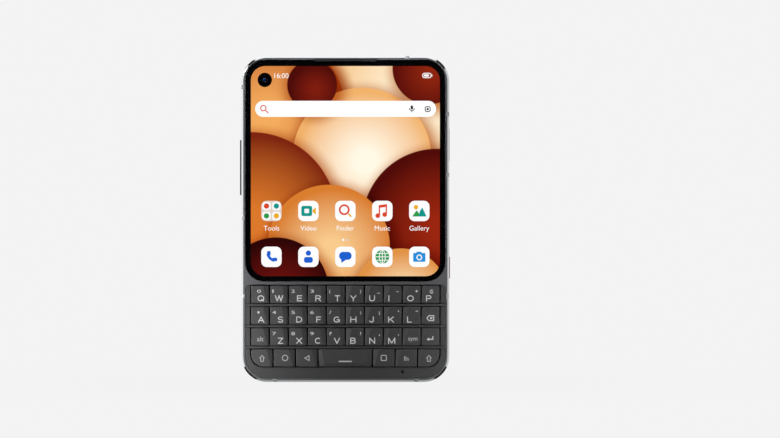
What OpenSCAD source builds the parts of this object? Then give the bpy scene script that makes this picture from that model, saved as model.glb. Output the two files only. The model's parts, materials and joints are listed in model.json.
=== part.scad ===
// Bar phone with a nearly square touch screen above a four-row thumb keyboard.
// It stands on its bottom edge: X is its width, Z its height, and the screen faces -Y.
// Each piece is drawn lying on its back (x width, y height, z towards the front)
// and then stood up.

/* [Body] */
// Width across the side faces
body_w = 75; // [73:0.5:80]
// Height from the bottom edge to the top edge
body_h = 117.6; // [116:0.2:124]
// Thickness from the rear cover to the front glass
body_t = 10.6; // [10.2:0.1:12]
// Corner radius of the outline
corner_r = 9.2; // [8.6:0.1:10]
// Polished chamfer round the front and rear edges
edge_chamfer = 0.65; // [0.4:0.05:0.8]
// Flat lip between the front chamfer and the glass
front_lip = 0.72; // [0.5:0.02:0.9]
// Flat lip between the rear chamfer and the rear cover
rear_lip = 0.5; // [0.3:0.05:0.8]
// Thickness of the frame's side wall
frame_wall = 2.2; // [2:0.1:2.4]
// Thickness of the plate inside the frame
mid_plate_t = 0.8; // [0.6:0.1:1]
// How far the glass and the rear cover stand above the frame's lips
face_proud = 0.1; // [0.05:0.05:0.2]
// Gap round each fixed piece set into the frame
seat_gap = 0.08; // [0.05:0.01:0.12]
// Gap round each piece that moves in the frame
slide_gap = 0.12; // [0.1:0.01:0.15]
// Width of each plastic break in the metal band
break_w = 1.5; // [1:0.1:2]
// Depth of each plastic break
break_depth = 1.1; // [0.8:0.1:1.4]

/* [Screen] */
// Thickness of the cover glass
glass_t = 0.7; // [0.5:0.1:0.9]
// Corner radius of the cover glass
glass_r = 7; // [6:0.1:7.6]
// Thickness of the screen module
display_t = 2.2; // [2:0.1:2.4]
// Width of the ledge that the glass rests on
glass_ledge = 0.9; // [0.6:0.1:1.2]
// Width of the metal bridge between the glass and the keys
bridge_w = 1.1; // [0.9:0.1:1.6]
// Front camera, from the left side face to its axis
front_camera_in = 8.4; // [7.5:0.1:10]
// Front camera, from the top edge to its axis
front_camera_down = 8.6; // [8:0.1:10]
// Diameter of the front camera's barrel
front_camera_d = 4.4; // [3.6:0.1:4.8]
// Length of the earpiece slit
slit_w = 23.2; // [16:0.2:28]
// Height of the earpiece slit
slit_h = 0.7; // [0.5:0.05:0.9]

/* [Keyboard] */
// Width of the strip at each end of the rows
side_strip = 1.9; // [1.6:0.1:3]
// Height of the panel below the last row
chin_h = 3.8; // [3.4:0.1:5]
// Corner radius at the top of the keyboard panel
panel_r = 1.8; // [1:0.1:2.4]
// Height of a key
key_h = 6.2; // [5.6:0.1:6.6]
// Gap between neighbours in a row
key_gap = 0.5; // [0.4:0.05:0.7]
// Gap between a key and a fret
groove = 0.4; // [0.35:0.05:0.5]
// Gap between the outer rows and the panel
edge_groove = 0.3; // [0.25:0.05:0.4]
// Height of a fret as seen from the front
fret_w = 0.65; // [0.5:0.05:0.8]
// How far the frets stand above the panel
fret_proud = 0.2; // [0.1:0.05:0.3]
// How far the ridges of the keys stand above the panel
key_proud = 0.5; // [0.4:0.05:0.8]
// Pitch of the six wide keys in the last row
wide_pitch = 8.1; // [7.6:0.1:8.6]
// Radius at the outer corners of the last row
key_corner_r = 4.4; // [3:0.1:5]
// Travel of a key
key_travel = 0.4; // [0.3:0.05:0.4]
// Width of a key's slanted facet at the top
facet_top = 2.2; // [1.2:0.05:2.4]
// Width of a key's slanted facet at the bottom
facet_low = 0.5; // [0.4:0.05:1]
// Slope of the slanted facet
facet_slope = 14; // [8:1:16]
// Slope of a key's main face
face_slope = 2.5; // [0:0.5:3]
// Diameter of the microphone hole
mic_d = 0.95; // [0.6:0.05:1.2]
// Microphone hole, from the middle
mic_x = 20.55; // [15:0.05:28]
// Microphone hole, above the low edge of the panel
mic_up = 2.15; // [1.8:0.05:2.3]

/* [Side keys] */
// Space between the SIM tray and the volume rocker
rocker_below_tray = 2.75; // [2:0.05:5]
// Length of the volume rocker
rocker_len = 20; // [16:0.5:22]
// How far the volume rocker stands out
rocker_proud = 0.65; // [0.4:0.05:1]
// Greatest tilt of the volume rocker
rocker_tilt = 1.5; // [1:0.1:1.6]
// Middle of the power key, down from the top edge
power_down = 31.9; // [29:0.1:33]
// Length of the power key
power_len = 12; // [10:0.5:14]
// How far the power key stands out
power_proud = 0.15; // [0.1:0.05:0.3]
// Middle of the shortcut key, above the low edge of the glass
shortcut_up = 5; // [4:0.1:12]
// Length of the shortcut key
shortcut_len = 8; // [7:0.5:10]
// How far the shortcut key stands out
shortcut_proud = 0.3; // [0.2:0.05:0.5]
// Thickness of the side keys
side_key_t = 2.6; // [2:0.1:2.8]
// Travel of the power and shortcut keys
side_travel = 0.3; // [0.2:0.05:0.35]

/* [Sockets] */
// Middle of the SIM tray, down from the top edge
tray_down = 20.7; // [20:0.1:22]
// Width of the SIM tray
tray_w = 13.5; // [12:0.5:14]
// Depth of the SIM tray from the side face
tray_len = 19.5; // [17:0.5:21]
// Thickness of the tray's door
tray_door_t = 2; // [1.6:0.1:2.2]
// Thickness of the tray behind the door
tray_t = 0.9; // [0.7:0.1:1.1]
// Width of the charging socket's shell
usb_w = 8.94; // [8.8:0.02:9.2]
// Height of the charging socket's shell
usb_h = 3.26; // [3.1:0.02:3.4]
// Length of the charging socket's shell
usb_len = 7.3; // [6.5:0.1:9]
// Thickness of the charging socket's shell
usb_wall = 0.3; // [0.2:0.05:0.4]
// Number of sound holes in the bottom edge
sound_holes = 6; // [3:1:7]
// Diameter of a sound hole
sound_d = 1.2; // [0.8:0.1:1.6]

/* [Back] */
// Thickness of the rear cover
cover_t = 1; // [0.8:0.1:1.2]
// Width of the camera window
window_w = 60.4; // [56:0.2:62]
// Height of the camera window
window_h = 22.9; // [20:0.1:24]
// Corner radius of the camera window
window_r = 3.1; // [2:0.1:5]
// Top of the camera window, down from the top edge
window_down = 7.8; // [7:0.1:9]
// Thickness of the camera window
window_t = 0.8; // [0.6:0.1:1]
// Width of the trim round the camera window
trim_w = 0.45; // [0.3:0.05:0.8]
// How far the trim stands above the rear cover
trim_h = 0.6; // [0.4:0.05:0.8]
// Barrel diameter of the rear cameras
camera_d = 9.6; // [8:0.1:10.4]
// Rear camera nearer to the flash, from the middle
near_camera_x = 6; // [4:0.1:7]
// Rear camera farther from the flash, from the middle
far_camera_x = 21; // [20:0.1:23]
// The flash, from the middle
flash_x = -23; // [-25:0.1:-20]
// Diameter of the flash lens
flash_d = 4.2; // [3:0.1:5]

/* [Inside] */
// Height of the main board
board_h = 36; // [34:0.5:37]
// Thickness of the circuit boards
board_t = 0.8; // [0.6:0.1:0.9]
// Height of the bosses that carry the main board
boss_h = 2.4; // [2.2:0.1:2.6]
// Diameter of the bosses
boss_d = 3.2; // [2.8:0.1:3.6]
// Diameter of the screws
screw_d = 1.4; // [1.2:0.1:1.6]
// Space between the battery and each side wall
battery_side = 4.3; // [4:0.1:10]
// Space that the battery keeps to the rear cover
battery_gap = 0.4; // [0.3:0.1:0.6]

/* [Hidden] */
$fn = 96;
cut = 1;                                   // how far a cutter runs past the surface it opens
lap = 0.4;                                 // how far parts of one piece run into each other

// Plastic breaks as shares of the height, up the right and left sides, and of the width
right_breaks = [0.2645, 0.6356, 0.8214] * body_h;
top_breaks = [0.2987] * body_w;
left_breaks = [0.2645, 0.5026, 0.9039] * body_h;
bottom_breaks = [-0.3413, 0.3413] * body_w;

// Levels, back to front
front_z = body_t / 2;
back_z = -body_t / 2;
lip_z = front_z - face_proud;
rear_lip_z = back_z + face_proud;
cover_seat_z = back_z + cover_t;
glass_seat_z = front_z - glass_t;
plate_front_z = glass_seat_z - display_t;
plate_back_z = plate_front_z - mid_plate_t;
board_front_z = plate_back_z - boss_h;
board_back_z = board_front_z - board_t;
side_key_behind = 2.2;                     // middles of the side parts, behind the plate
socket_behind = 2.5;
tray_behind = 1.5;
side_key_z = plate_back_z - side_key_behind;
socket_z = plate_back_z - socket_behind;
tray_z = plate_back_z - tray_behind;

// Outlines
front_rim = edge_chamfer + front_lip;
rear_rim = edge_chamfer + rear_lip;
half_w = body_w / 2;
inner_half_w = half_w - frame_wall;
inner_top = body_h - frame_wall;
panel_w = body_w - 2 * (front_rim + seat_gap);
panel_low = front_rim + seat_gap;
panel_low_r = corner_r - front_rim - seat_gap;
field_low = panel_low + chin_h;
row_pitch = key_h + 2 * groove + fret_w;
panel_high = field_low + 2 * edge_groove + 3 * row_pitch + key_h;
glass_w = body_w - 2 * (front_rim + seat_gap);
glass_low = panel_high + seat_gap + bridge_w + seat_gap;
glass_high = body_h - front_rim - seat_gap;
field_w = panel_w - 2 * side_strip;
opening_w = field_w + key_gap;
column_pitch = field_w / 10;
window_high = body_h - window_down;
window_low = window_high - window_h;
window_y = (window_low + window_high) / 2;
camera_x = [near_camera_x, far_camera_x];
camera_y = window_y;
front_camera_x = -half_w + front_camera_in;
front_camera_y = body_h - front_camera_down;
slit_y = glass_high;                       // middle of the earpiece slit, on the glass's top edge

// Keyboard levels
bar_over = 0.2;                            // how far a crossbar reaches past its fret
bar_t = 0.42;                              // thickness of the crossbars
dome_h = 0.3;
dome_d = 4.4;
key_board_t = 0.6;
key_slack = 0.05;                          // room left under a key that is fully down
tab_t = 0.5;                               // tabs that hold the keys under the panel
tab_reach = 0.6;
tab_inset = 1.3;
tab_gap = 0.08;
dome_top_z = plate_front_z + key_board_t + dome_h;
key_low_z = dome_top_z + key_travel + key_slack;
bar_low_z = key_low_z + tab_t + tab_gap;
bar_high_z = bar_low_z + bar_t;
key_tall = lip_z + key_proud - key_low_z;
rim_in = 1.05;                             // wall under the panel's sides
chin_in = 0.65;                            // step from the wall under the chin to the rows
fret_gap = 0.3;                            // gap between a fret and the side strips
fret_slot = fret_w + 2 * fret_gap;

// The space bar's three facets
space_facet_top = 1;
space_facet_low = 2.1;
space_facet_h = 1.25;
space_slope = 13;

// Side keys
tray_y = body_h - tray_down;
rocker_y = tray_y - tray_w / 2 - rocker_below_tray - rocker_len / 2;
power_y = body_h - power_down;
shortcut_y = glass_low + shortcut_up;
side_flange_t = 0.5;
side_flange = 0.5;                         // how far a side key's flange reaches past its slot
side_slack = 0.05;                         // room left behind a side key that is fully in
switch_t = 1.7;
switch_len = 4;
switch_gap = side_travel + side_slack;
rocker_switch = 7;                         // the rocker's two switches, from its middle
rocker_flange_len = 7;
rocker_seat = rocker_flange_len / 2 * sin(rocker_tilt) + side_slack;
rocker_end_gap = slide_gap + frame_wall * sin(rocker_tilt);
rocker_switch_gap = (rocker_switch + switch_len / 2) * sin(rocker_tilt) + side_slack;

// SIM tray
tray_wall = 0.8;                           // rim round the two card pockets
tray_floor = 0.3;
rail_t = 0.8;
rail_gap = 0.15;
pin_hole_d = 0.9;
pin_hole_in = 1.6;                         // release pin's hole, from the end of the door

// Charging socket and loudspeaker
usb_set_back = 0.3;
tongue_w = 6.7;
tongue_t = 0.7;
tongue_len = 4.4;
sound_first_x = 8.8;
sound_pitch = 2.1;
speaker_h = 8.6;
speaker_margin = 2.2;                      // speaker box past its outer sound holes

// Inside
board_margin = 3.3;                        // main board to the side walls
board_top_gap = 2;                         // main board to the top wall
board_half_w = inner_half_w - board_margin;
board_high = inner_top - board_top_gap;
board_low = board_high - board_h;
battery_w = 2 * (inner_half_w - battery_side);
battery_margin = 1;                        // battery to the loudspeaker and the main board
battery_low = frame_wall + seat_gap + speaker_h + battery_margin;
battery_high = board_low - battery_margin;
camera_box = 10.6;
camera_deep = 5.4;
camera_room = 0.6;                         // board's cut-out past the camera modules
barrel_gap = 0.25;
flash_base = 5.4;
receiver_w = 15;                           // earpiece receiver behind the plate
receiver_h = 8;
front_camera_base = 1.8;                   // front camera's base past its barrel
shield_gap = 0.6;                          // room between the front shields and the plate
rear_shield_t = 1.4;
// Shields on the main board: x, height above the board's low edge, width, height
front_shields = [[14, 8.6, 26, 8], [-8, 16, 12, 18]];
rear_shields = [[-8, 16, 12, 20], [14, 8.6, 20, 7]];
screw_inset = 2.2;                         // screws from the edges of the main board
top_screw_x = -17;                         // screw beside the SIM reader
low_screw_x = [-14, 12];                   // screws along the board's low edge
screw_head_d = 2.4;
screw_head_t = 0.5;
thread_gap = 0.03;
screw_places = [
    [-board_half_w + screw_inset, board_low + screw_inset],
    [board_half_w - screw_inset, board_low + screw_inset],
    [top_screw_x, board_high - screw_inset],
    [board_half_w - screw_inset, board_high - screw_inset],
    [low_screw_x[0], board_low + screw_inset],
    [low_screw_x[1], board_low + screw_inset],
];

// Keys, last row first, each row from left to right
key_rows = [
    ["shift_left", "home", "back", "space", "recents", "fn", "shift_right"],
    ["alt", "z", "x", "c", "v", "b", "n", "m", "sym", "enter"],
    ["a", "s", "d", "f", "g", "h", "j", "k", "l", "backspace"],
    ["q", "w", "e", "r", "t", "y", "u", "i", "o", "p"],
];
key_nodes = [for (row = key_rows) for (name = row) str("key_", name)];

// Middle of a row of keys, row 0 being the last
function row_y(row) = field_low + edge_groove + key_h / 2 + row * row_pitch;

// Middle of the fret above a row
function fret_y(row) = row_y(row) + row_pitch / 2;

// Edges of a key's cell in its row
function cell_left(row, i) =
    row > 0 ? -field_w / 2 + i * column_pitch :
    i <= 3 ? -field_w / 2 + i * wide_pitch :
    field_w / 2 - (7 - i) * wide_pitch;
function cell_right(row, i) =
    row > 0 ? cell_left(row, i) + column_pitch :
    i < 3 ? cell_left(row, i) + wide_pitch :
    field_w / 2 - (6 - i) * wide_pitch;

// Stands a piece up from lying on its back
module upright() {
    rotate([90, 0, 0]) children();
}

// Solid of an outline between two levels
module layer(low, high) {
    translate([0, 0, low]) linear_extrude(high - low) children();
}

// Rectangle with rounded corners, centred across, between two heights
module rounded(w, low, high, r_low, r_high) {
    translate([-w / 2, low + r_low]) square([w, high - low - r_low - r_high]);
    translate([-w / 2 + r_low, low]) square([w - 2 * r_low, r_low]);
    translate([-w / 2 + r_high, high - r_high]) square([w - 2 * r_high, r_high]);
    for (side = [-1, 1]) {
        translate([side * (w / 2 - r_low), low + r_low]) circle(r_low);
        translate([side * (w / 2 - r_high), high - r_high]) circle(r_high);
    }
}

// Box from its middle in x and y and its two levels
module block(x, y, w, h, low, high) {
    translate([x - w / 2, y - h / 2, low]) cube([w, h, high - low]);
}

// Round post or hole between two levels
module post(x, y, d, low, high) {
    translate([x, y, low]) cylinder(d = d, h = high - low);
}

// Sets a section drawn as (distance from the corner centre, level) on an edge:
// 0 right, 1 top, 2 left, 3 bottom
module on_edge(side, place) {
    across = body_w / 2 - corner_r;
    spot = [
        [across, place], [place, body_h - corner_r], [-across, place], [place, corner_r],
    ];
    translate(spot[side]) rotate(90 * side) rotate([90, 0, 0]) children();
}

// Carries a section round the whole outline
module round_outline(section) {
    straight = [body_h - 2 * corner_r, body_w - 2 * corner_r];
    middle = [body_h / 2, 0];
    for (side = [0 : 3]) {
        on_edge(side, middle[side % 2])
            linear_extrude(straight[side % 2], center = true) polygon(section);
    }
    for (side = [0 : 3]) {
        x = (side == 0 || side == 3 ? 1 : -1) * (body_w / 2 - corner_r);
        y = side < 2 ? body_h - corner_r : corner_r;
        translate([x, y]) rotate(90 * side) rotate_extrude(angle = 90) polygon(section);
    }
}

// Outer edge of the band's section, rear to front
outer_edge = [
    [corner_r - edge_chamfer, rear_lip_z],
    [corner_r, rear_lip_z + edge_chamfer],
    [corner_r, lip_z - edge_chamfer],
    [corner_r - edge_chamfer, lip_z],
];
band_section = concat(outer_edge, [
    [corner_r - frame_wall, lip_z],
    [corner_r - frame_wall, cover_seat_z],
    [corner_r - rear_rim, cover_seat_z],
    [corner_r - rear_rim, rear_lip_z],
]);
break_section = concat(outer_edge, [
    [corner_r - break_depth, lip_z],
    [corner_r - break_depth, rear_lip_z],
]);

// All the plastic breaks in the band
module breaks() {
    places = [right_breaks, top_breaks, left_breaks, bottom_breaks];
    for (side = [0 : 3]) for (place = places[side]) {
        on_edge(side, place) linear_extrude(break_w, center = true) polygon(break_section);
    }
}

// Outline of the keyboard panel, grown by a gap
module panel_outline(gap) {
    rounded(panel_w + 2 * gap, panel_low - gap, panel_high + gap, panel_low_r + gap, panel_r + gap);
}

// Outline of the cover glass, grown by a gap
module glass_outline(gap) {
    rounded(glass_w + 2 * gap, glass_low - gap, glass_high + gap, glass_r + gap, glass_r + gap);
}

// Outline of the screen module, grown by a gap
module display_outline(gap) {
    r = glass_r - glass_ledge;
    rounded(glass_w - 2 * glass_ledge + 2 * gap, glass_low + glass_ledge - gap,
        glass_high - glass_ledge + gap, r + gap, r + gap);
}

// Earpiece slit with slanted ends, grown by a gap
module slit_outline(gap) {
    half = slit_w / 2 + gap;
    tall = slit_h / 2 + gap;
    polygon([
        [-half + slit_h, slit_y - tall], [half - slit_h, slit_y - tall],
        [half, slit_y + tall], [-half, slit_y + tall],
    ]);
}

// Slot with round ends along the height of the phone
module flat_tube(w, h, low, high) {
    translate([0, low, socket_z]) rotate([-90, 0, 0]) linear_extrude(high - low) {
        square([w - h, h], center = true);
        for (side = [-1, 1]) translate([side * (w - h) / 2, 0]) circle(d = h);
    }
}

// Slot through a side wall; side is -1 left or 1 right
module side_slot(side, y, len, t, z) {
    outer = half_w + cut;
    inner = inner_half_w - cut;
    block(side * (outer + inner) / 2, y, outer - inner, len, z - t / 2, z + t / 2);
}

// Key in a side wall with a flange that holds it in
module side_key(side, y, len, proud) {
    flange_back = inner_half_w - seat_gap - side_flange_t;
    outer = half_w + proud;
    half_t = side_key_t / 2;
    block(side * (outer + flange_back) / 2, y, outer - flange_back, len,
        side_key_z - half_t, side_key_z + half_t);
    block(side * (flange_back + side_flange_t / 2), y, side_flange_t, len + 2 * side_flange,
        side_key_z - half_t - side_flange, side_key_z + half_t + side_flange);
}

// Tact switch behind a side key, hung from the plate
module side_switch(side, y, face) {
    block(side * (face - switch_t / 2), y, switch_t, switch_len,
        side_key_z - side_key_t / 2, plate_back_z);
}

module mid_frame() color("#3d3f42") upright() difference() {
    union() {
        round_outline(band_section);
        layer(plate_back_z, lip_z) rounded(2 * (inner_half_w + lap), frame_wall - lap, inner_top + lap,
            corner_r - frame_wall + lap, corner_r - frame_wall + lap);
        for (p = screw_places) post(p[0], p[1], boss_d, board_front_z, plate_back_z + lap);
    }
    layer(glass_seat_z, lip_z + cut) glass_outline(seat_gap);
    layer(plate_front_z, lip_z + cut) display_outline(seat_gap);
    layer(plate_front_z, lip_z + cut) panel_outline(seat_gap);
    // Groove under the bridge for the tabs of the first row
    block(0, panel_high, opening_w, 2 * tab_reach, key_low_z - key_travel - key_slack, bar_low_z);
    layer(plate_front_z, lip_z + cut) slit_outline(seat_gap);
    block(0, slit_y - slit_h / 2, slit_w / 2, 2 * slit_h, board_front_z + board_t, plate_front_z + cut);
    post(front_camera_x, front_camera_y, front_camera_d + 2 * seat_gap,
        plate_back_z - cut, plate_front_z + cut);
    breaks();
    for (p = screw_places) {
        post(p[0], p[1], screw_d + 2 * thread_gap, board_front_z - cut, plate_back_z);
    }
    side_slot(-1, rocker_y, rocker_len + 2 * rocker_end_gap, side_key_t + 2 * slide_gap, side_key_z);
    side_slot(1, power_y, power_len + 2 * slide_gap, side_key_t + 2 * slide_gap, side_key_z);
    side_slot(1, shortcut_y, shortcut_len + 2 * slide_gap, side_key_t + 2 * slide_gap, side_key_z);
    side_slot(-1, tray_y, tray_w + 2 * slide_gap, tray_door_t + 2 * slide_gap, tray_z);
    flat_tube(usb_w + 2 * seat_gap, usb_h + 2 * seat_gap, -cut, frame_wall + cut);
    for (i = [0 : sound_holes - 1]) {
        translate([sound_first_x + i * sound_pitch, -cut, socket_z])
            rotate([-90, 0, 0]) cylinder(d = sound_d, h = frame_wall + 2 * cut);
    }
}

module antenna_inserts() color("#8d8f90") upright() breaks();

module rear_cover() color("#4a4847") upright() difference() {
    inset = rear_rim + seat_gap;
    union() {
        layer(back_z, cover_seat_z) rounded(body_w - 2 * inset, inset, body_h - inset,
            corner_r - inset, corner_r - inset);
        layer(back_z - trim_h, cover_seat_z) window_outline(trim_w + seat_gap);
    }
    layer(back_z - trim_h - cut, back_z - trim_h + window_t) window_outline(seat_gap);
    for (x = camera_x) {
        post(x, camera_y, camera_d + 2 * barrel_gap, back_z - trim_h, cover_seat_z + cut);
    }
    post(flash_x, camera_y, flash_d + 2 * barrel_gap, back_z - trim_h, cover_seat_z + cut);
}

// Outline of the camera window, grown by a gap
module window_outline(gap) {
    rounded(window_w + 2 * gap, window_low - gap, window_high + gap, window_r + gap, window_r + gap);
}

module camera_glass() color("#0c0c0d") upright()
    layer(back_z - trim_h, back_z - trim_h + window_t) window_outline(0);

module rear_cameras() color("#1d1e20") upright() {
    glass_back = back_z - trim_h + window_t;
    for (x = camera_x) {
        post(x, camera_y, camera_d, glass_back, cover_seat_z + cut);
        block(x, camera_y, camera_box, camera_box, cover_seat_z + barrel_gap, cover_seat_z + camera_deep);
    }
}

module flash_led() color("#f3ead2") upright() {
    glass_back = back_z - trim_h + window_t;
    post(flash_x, camera_y, flash_d, glass_back, board_back_z);
    block(flash_x, camera_y, flash_base, flash_base, cover_seat_z + barrel_gap, board_back_z);
}

module front_glass() color("#0a0a0b") upright() layer(glass_seat_z, front_z) difference() {
    glass_outline(0);
    slit_outline(seat_gap);
}

module display_panel() color("#b8743c") upright() difference() {
    layer(plate_front_z, glass_seat_z) display_outline(0);
    post(front_camera_x, front_camera_y, front_camera_d + 2 * seat_gap,
        plate_front_z - cut, glass_seat_z + cut);
}

module front_camera() color("#16181b") upright() {
    base = front_camera_d + front_camera_base;
    post(front_camera_x, front_camera_y, front_camera_d, plate_back_z - seat_gap, glass_seat_z);
    block(front_camera_x, front_camera_y, base, base, board_front_z + board_t / 2, plate_back_z);
}

module earpiece() color("#3a3b3d") upright() {
    neck_w = slit_w / 2 - 2 * seat_gap;
    receiver_high = inner_top - 2 * seat_gap;
    low = board_front_z + board_t + seat_gap;
    layer(plate_front_z + mid_plate_t, lip_z) slit_outline(0);
    block(0, slit_y, neck_w, slit_h, low, plate_front_z + 2 * mid_plate_t);
    translate([-neck_w / 2, receiver_high - slit_h, low])
        cube([neck_w, slit_y - receiver_high + slit_h, plate_back_z - seat_gap - low]);
    block(0, receiver_high - receiver_h / 2, receiver_w, receiver_h, low, plate_back_z);
}

module keyboard_bezel() color("#424344") upright() difference() {
    union() {
        layer(plate_front_z, bar_high_z) difference() {
            panel_outline(0);
            translate([-panel_w / 2 + rim_in, field_low - chin_in])
                square([panel_w - 2 * rim_in, panel_high]);
        }
        layer(bar_low_z, bar_high_z) difference() {
            panel_outline(0);
            difference() {
                key_opening();
                for (row = [0 : 2]) {
                    translate([-panel_w / 2, fret_y(row) - fret_w / 2 - bar_over])
                        square([panel_w, fret_w + 2 * bar_over]);
                }
            }
        }
        layer(bar_low_z, lip_z) difference() {
            panel_outline(0);
            key_opening();
            for (row = [0 : 2]) {
                translate([-panel_w / 2 - cut, fret_y(row) - fret_slot / 2])
                    square([panel_w + 2 * cut, fret_slot]);
            }
        }
    }
    post(mic_x, panel_low + mic_up, mic_d, plate_front_z - cut, lip_z + cut);
}

// Opening in the panel for all the rows
module key_opening() {
    rounded(opening_w, field_low, panel_high + cut, key_corner_r + edge_groove, cut / 2);
}

module key_frets() color("#45484a") upright() {
    for (row = [0 : 2]) {
        block(0, fret_y(row), panel_w, fret_w, bar_high_z, lip_z + fret_proud);
    }
}

module keyboard_board() color("#1f5a3a") upright() {
    low = field_low - chin_in + seat_gap;
    high = panel_high - seat_gap;
    w = panel_w - 2 * rim_in - 2 * seat_gap;
    block(0, (low + high) / 2, w, high - low, plate_front_z, plate_front_z + key_board_t);
    for (row = [0 : 3]) for (i = [0 : len(key_rows[row]) - 1]) {
        x = (cell_left(row, i) + cell_right(row, i)) / 2;
        translate([x, row_y(row), plate_front_z + key_board_t - lap])
            cylinder(d1 = dome_d, d2 = dome_d / 2, h = dome_h + lap);
    }
}

module main_board() color("#22513a") upright() difference() {
    union() {
        block(0, (board_low + board_high) / 2, 2 * board_half_w, board_h, board_back_z, board_front_z);
        // Shields on both faces
        for (s = front_shields) {
            block(s[0], board_low + s[1], s[2], s[3], board_back_z, plate_back_z - shield_gap);
        }
        for (s = rear_shields) {
            block(s[0], board_low + s[1], s[2], s[3], board_back_z - rear_shield_t, board_front_z);
        }
        // Rails of the SIM reader
        for (side = [-1, 1]) {
            rail_y = tray_y + side * (tray_w / 2 + rail_gap + rail_t / 2);
            inner_end = -half_w + tray_len;
            block((inner_end - board_half_w) / 2, rail_y, inner_end + board_half_w, rail_t,
                board_back_z, tray_z + tray_door_t / 2);
        }
    }
    for (x = camera_x) {
        block(x, camera_y, camera_box + 2 * camera_room, camera_box + 2 * camera_room,
            board_back_z - cut, board_front_z + cut);
    }
    for (p = screw_places) {
        post(p[0], p[1], screw_d + 2 * seat_gap, board_back_z - cut, board_front_z + cut);
    }
}

module battery() color("#2b2d33") upright() {
    block(0, (battery_low + battery_high) / 2, battery_w, battery_high - battery_low,
        cover_seat_z + battery_gap, plate_back_z);
}

module usb_socket() color("#b9bbbd") upright() {
    low = usb_set_back;
    high = usb_set_back + usb_len;
    back = high - usb_wall;
    difference() {
        flat_tube(usb_w, usb_h, low, high);
        flat_tube(usb_w - 2 * usb_wall, usb_h - 2 * usb_wall, low - cut, back);
    }
    block(0, back - tongue_len / 2 + usb_wall / 2, tongue_w, tongue_len + usb_wall,
        socket_z - tongue_t / 2, socket_z + tongue_t / 2);
}

module loudspeaker() color("#26272a") upright() {
    low_x = sound_first_x - speaker_margin;
    high_x = sound_first_x + (sound_holes - 1) * sound_pitch + speaker_margin;
    block((low_x + high_x) / 2, frame_wall + seat_gap + speaker_h / 2, high_x - low_x, speaker_h,
        cover_seat_z + battery_gap, plate_back_z);
}

module sim_tray() color("#3d3f42") upright() difference() {
    door_in = inner_half_w;
    union() {
        block(-(half_w + door_in) / 2, tray_y, half_w - door_in, tray_w,
            tray_z - tray_door_t / 2, tray_z + tray_door_t / 2);
        block(-half_w + tray_len / 2, tray_y, tray_len, tray_w, tray_z - tray_t / 2, tray_z + tray_t / 2);
    }
    // Two card pockets and the hole for the release pin
    pocket = (tray_len - frame_wall - 3 * tray_wall) / 2;
    for (i = [0, 1]) {
        x = -door_in + tray_wall + pocket / 2 + i * (pocket + tray_wall);
        block(x, tray_y, pocket, tray_w - 2 * tray_wall, tray_z - tray_t / 2 + tray_floor, tray_z + tray_t);
    }
    translate([-half_w - cut, tray_y - tray_w / 2 + pin_hole_in, tray_z])
        rotate([0, 90, 0]) cylinder(d = pin_hole_d, h = frame_wall / 2 + cut);
}

module volume_rocker() color("#2e3032") upright() {
    key_back = inner_half_w - rocker_seat;
    flange_back = key_back - side_flange_t;
    outer = half_w + rocker_proud;
    half_t = side_key_t / 2;
    block(-(outer + key_back) / 2, rocker_y, outer - key_back, rocker_len,
        side_key_z - half_t, side_key_z + half_t);
    block(-(key_back + lap + flange_back) / 2, rocker_y, side_flange_t + lap, rocker_flange_len,
        side_key_z - half_t, side_key_z + half_t);
    block(-(key_back + flange_back) / 2, rocker_y, side_flange_t, rocker_flange_len,
        side_key_z - half_t - side_flange, side_key_z + half_t + side_flange);
}

module power_button() color("#3d3f42") upright() side_key(1, power_y, power_len, power_proud);

module shortcut_button() color("#a8322e") upright()
    side_key(1, shortcut_y, shortcut_len, shortcut_proud);

module side_switches() color("#c3c5c7") upright() {
    key_back = inner_half_w - seat_gap - side_flange_t - switch_gap;
    rocker_back = inner_half_w - rocker_seat - rocker_switch_gap;
    for (end = [-1, 1]) side_switch(-1, rocker_y + end * rocker_switch, rocker_back);
    side_switch(1, power_y, key_back);
    side_switch(1, shortcut_y, key_back);
}

module screws() color("#9a9c9e") upright() {
    for (p = screw_places) {
        post(p[0], p[1], screw_d, board_back_z - screw_head_t, plate_back_z - seat_gap);
        post(p[0], p[1], screw_head_d, board_back_z - screw_head_t, board_back_z);
    }
}

// Cutter that slopes away from a line on a key's ridge; lean turns the line, slope tilts it
module slope_cutter(x, lean, slope) {
    reach = 3 * key_h;
    translate([x, 0, key_tall]) rotate([0, 0, lean]) rotate([0, slope, 0])
        translate([slope > 0 ? 0 : -reach, -reach, 0]) cube([reach, 2 * reach, key_h]);
}

// Ridge of an ordinary key, with its facet to the right
module key_ridge(w) {
    x = w / 2 - (facet_top + facet_low) / 2;
    lean = atan((facet_top - facet_low) / key_h);
    slope_cutter(x, lean, facet_slope);
    if (face_slope > 0) slope_cutter(x, lean, -face_slope);
}

// Facets at both ends and along the bottom of the space bar
module space_facets(w) {
    lean = atan((space_facet_low - space_facet_top) / (key_h - space_facet_h));
    x = w / 2 - space_facet_low + (key_h / 2 - space_facet_h) * tan(lean);
    for (side = [0, 1]) mirror([side, 0, 0]) slope_cutter(x, -lean, space_slope);
    translate([0, -key_h / 2 + space_facet_h, key_tall]) rotate([space_slope, 0, 0])
        translate([-w, -key_h, 0]) cube([2 * w, key_h, key_h]);
}

// Outline of a key; round_side is -1 or 1 for a rounded lower corner, or 0
module key_outline(w, round_side) {
    r = key_corner_r;
    difference() {
        square([w, key_h], center = true);
        if (round_side != 0) {
            translate([round_side * (w / 2 - r), -key_h / 2 + r]) difference() {
                translate([round_side > 0 ? 0 : -2 * r, -2 * r]) square(2 * r);
                circle(r);
            }
        }
    }
}

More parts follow.
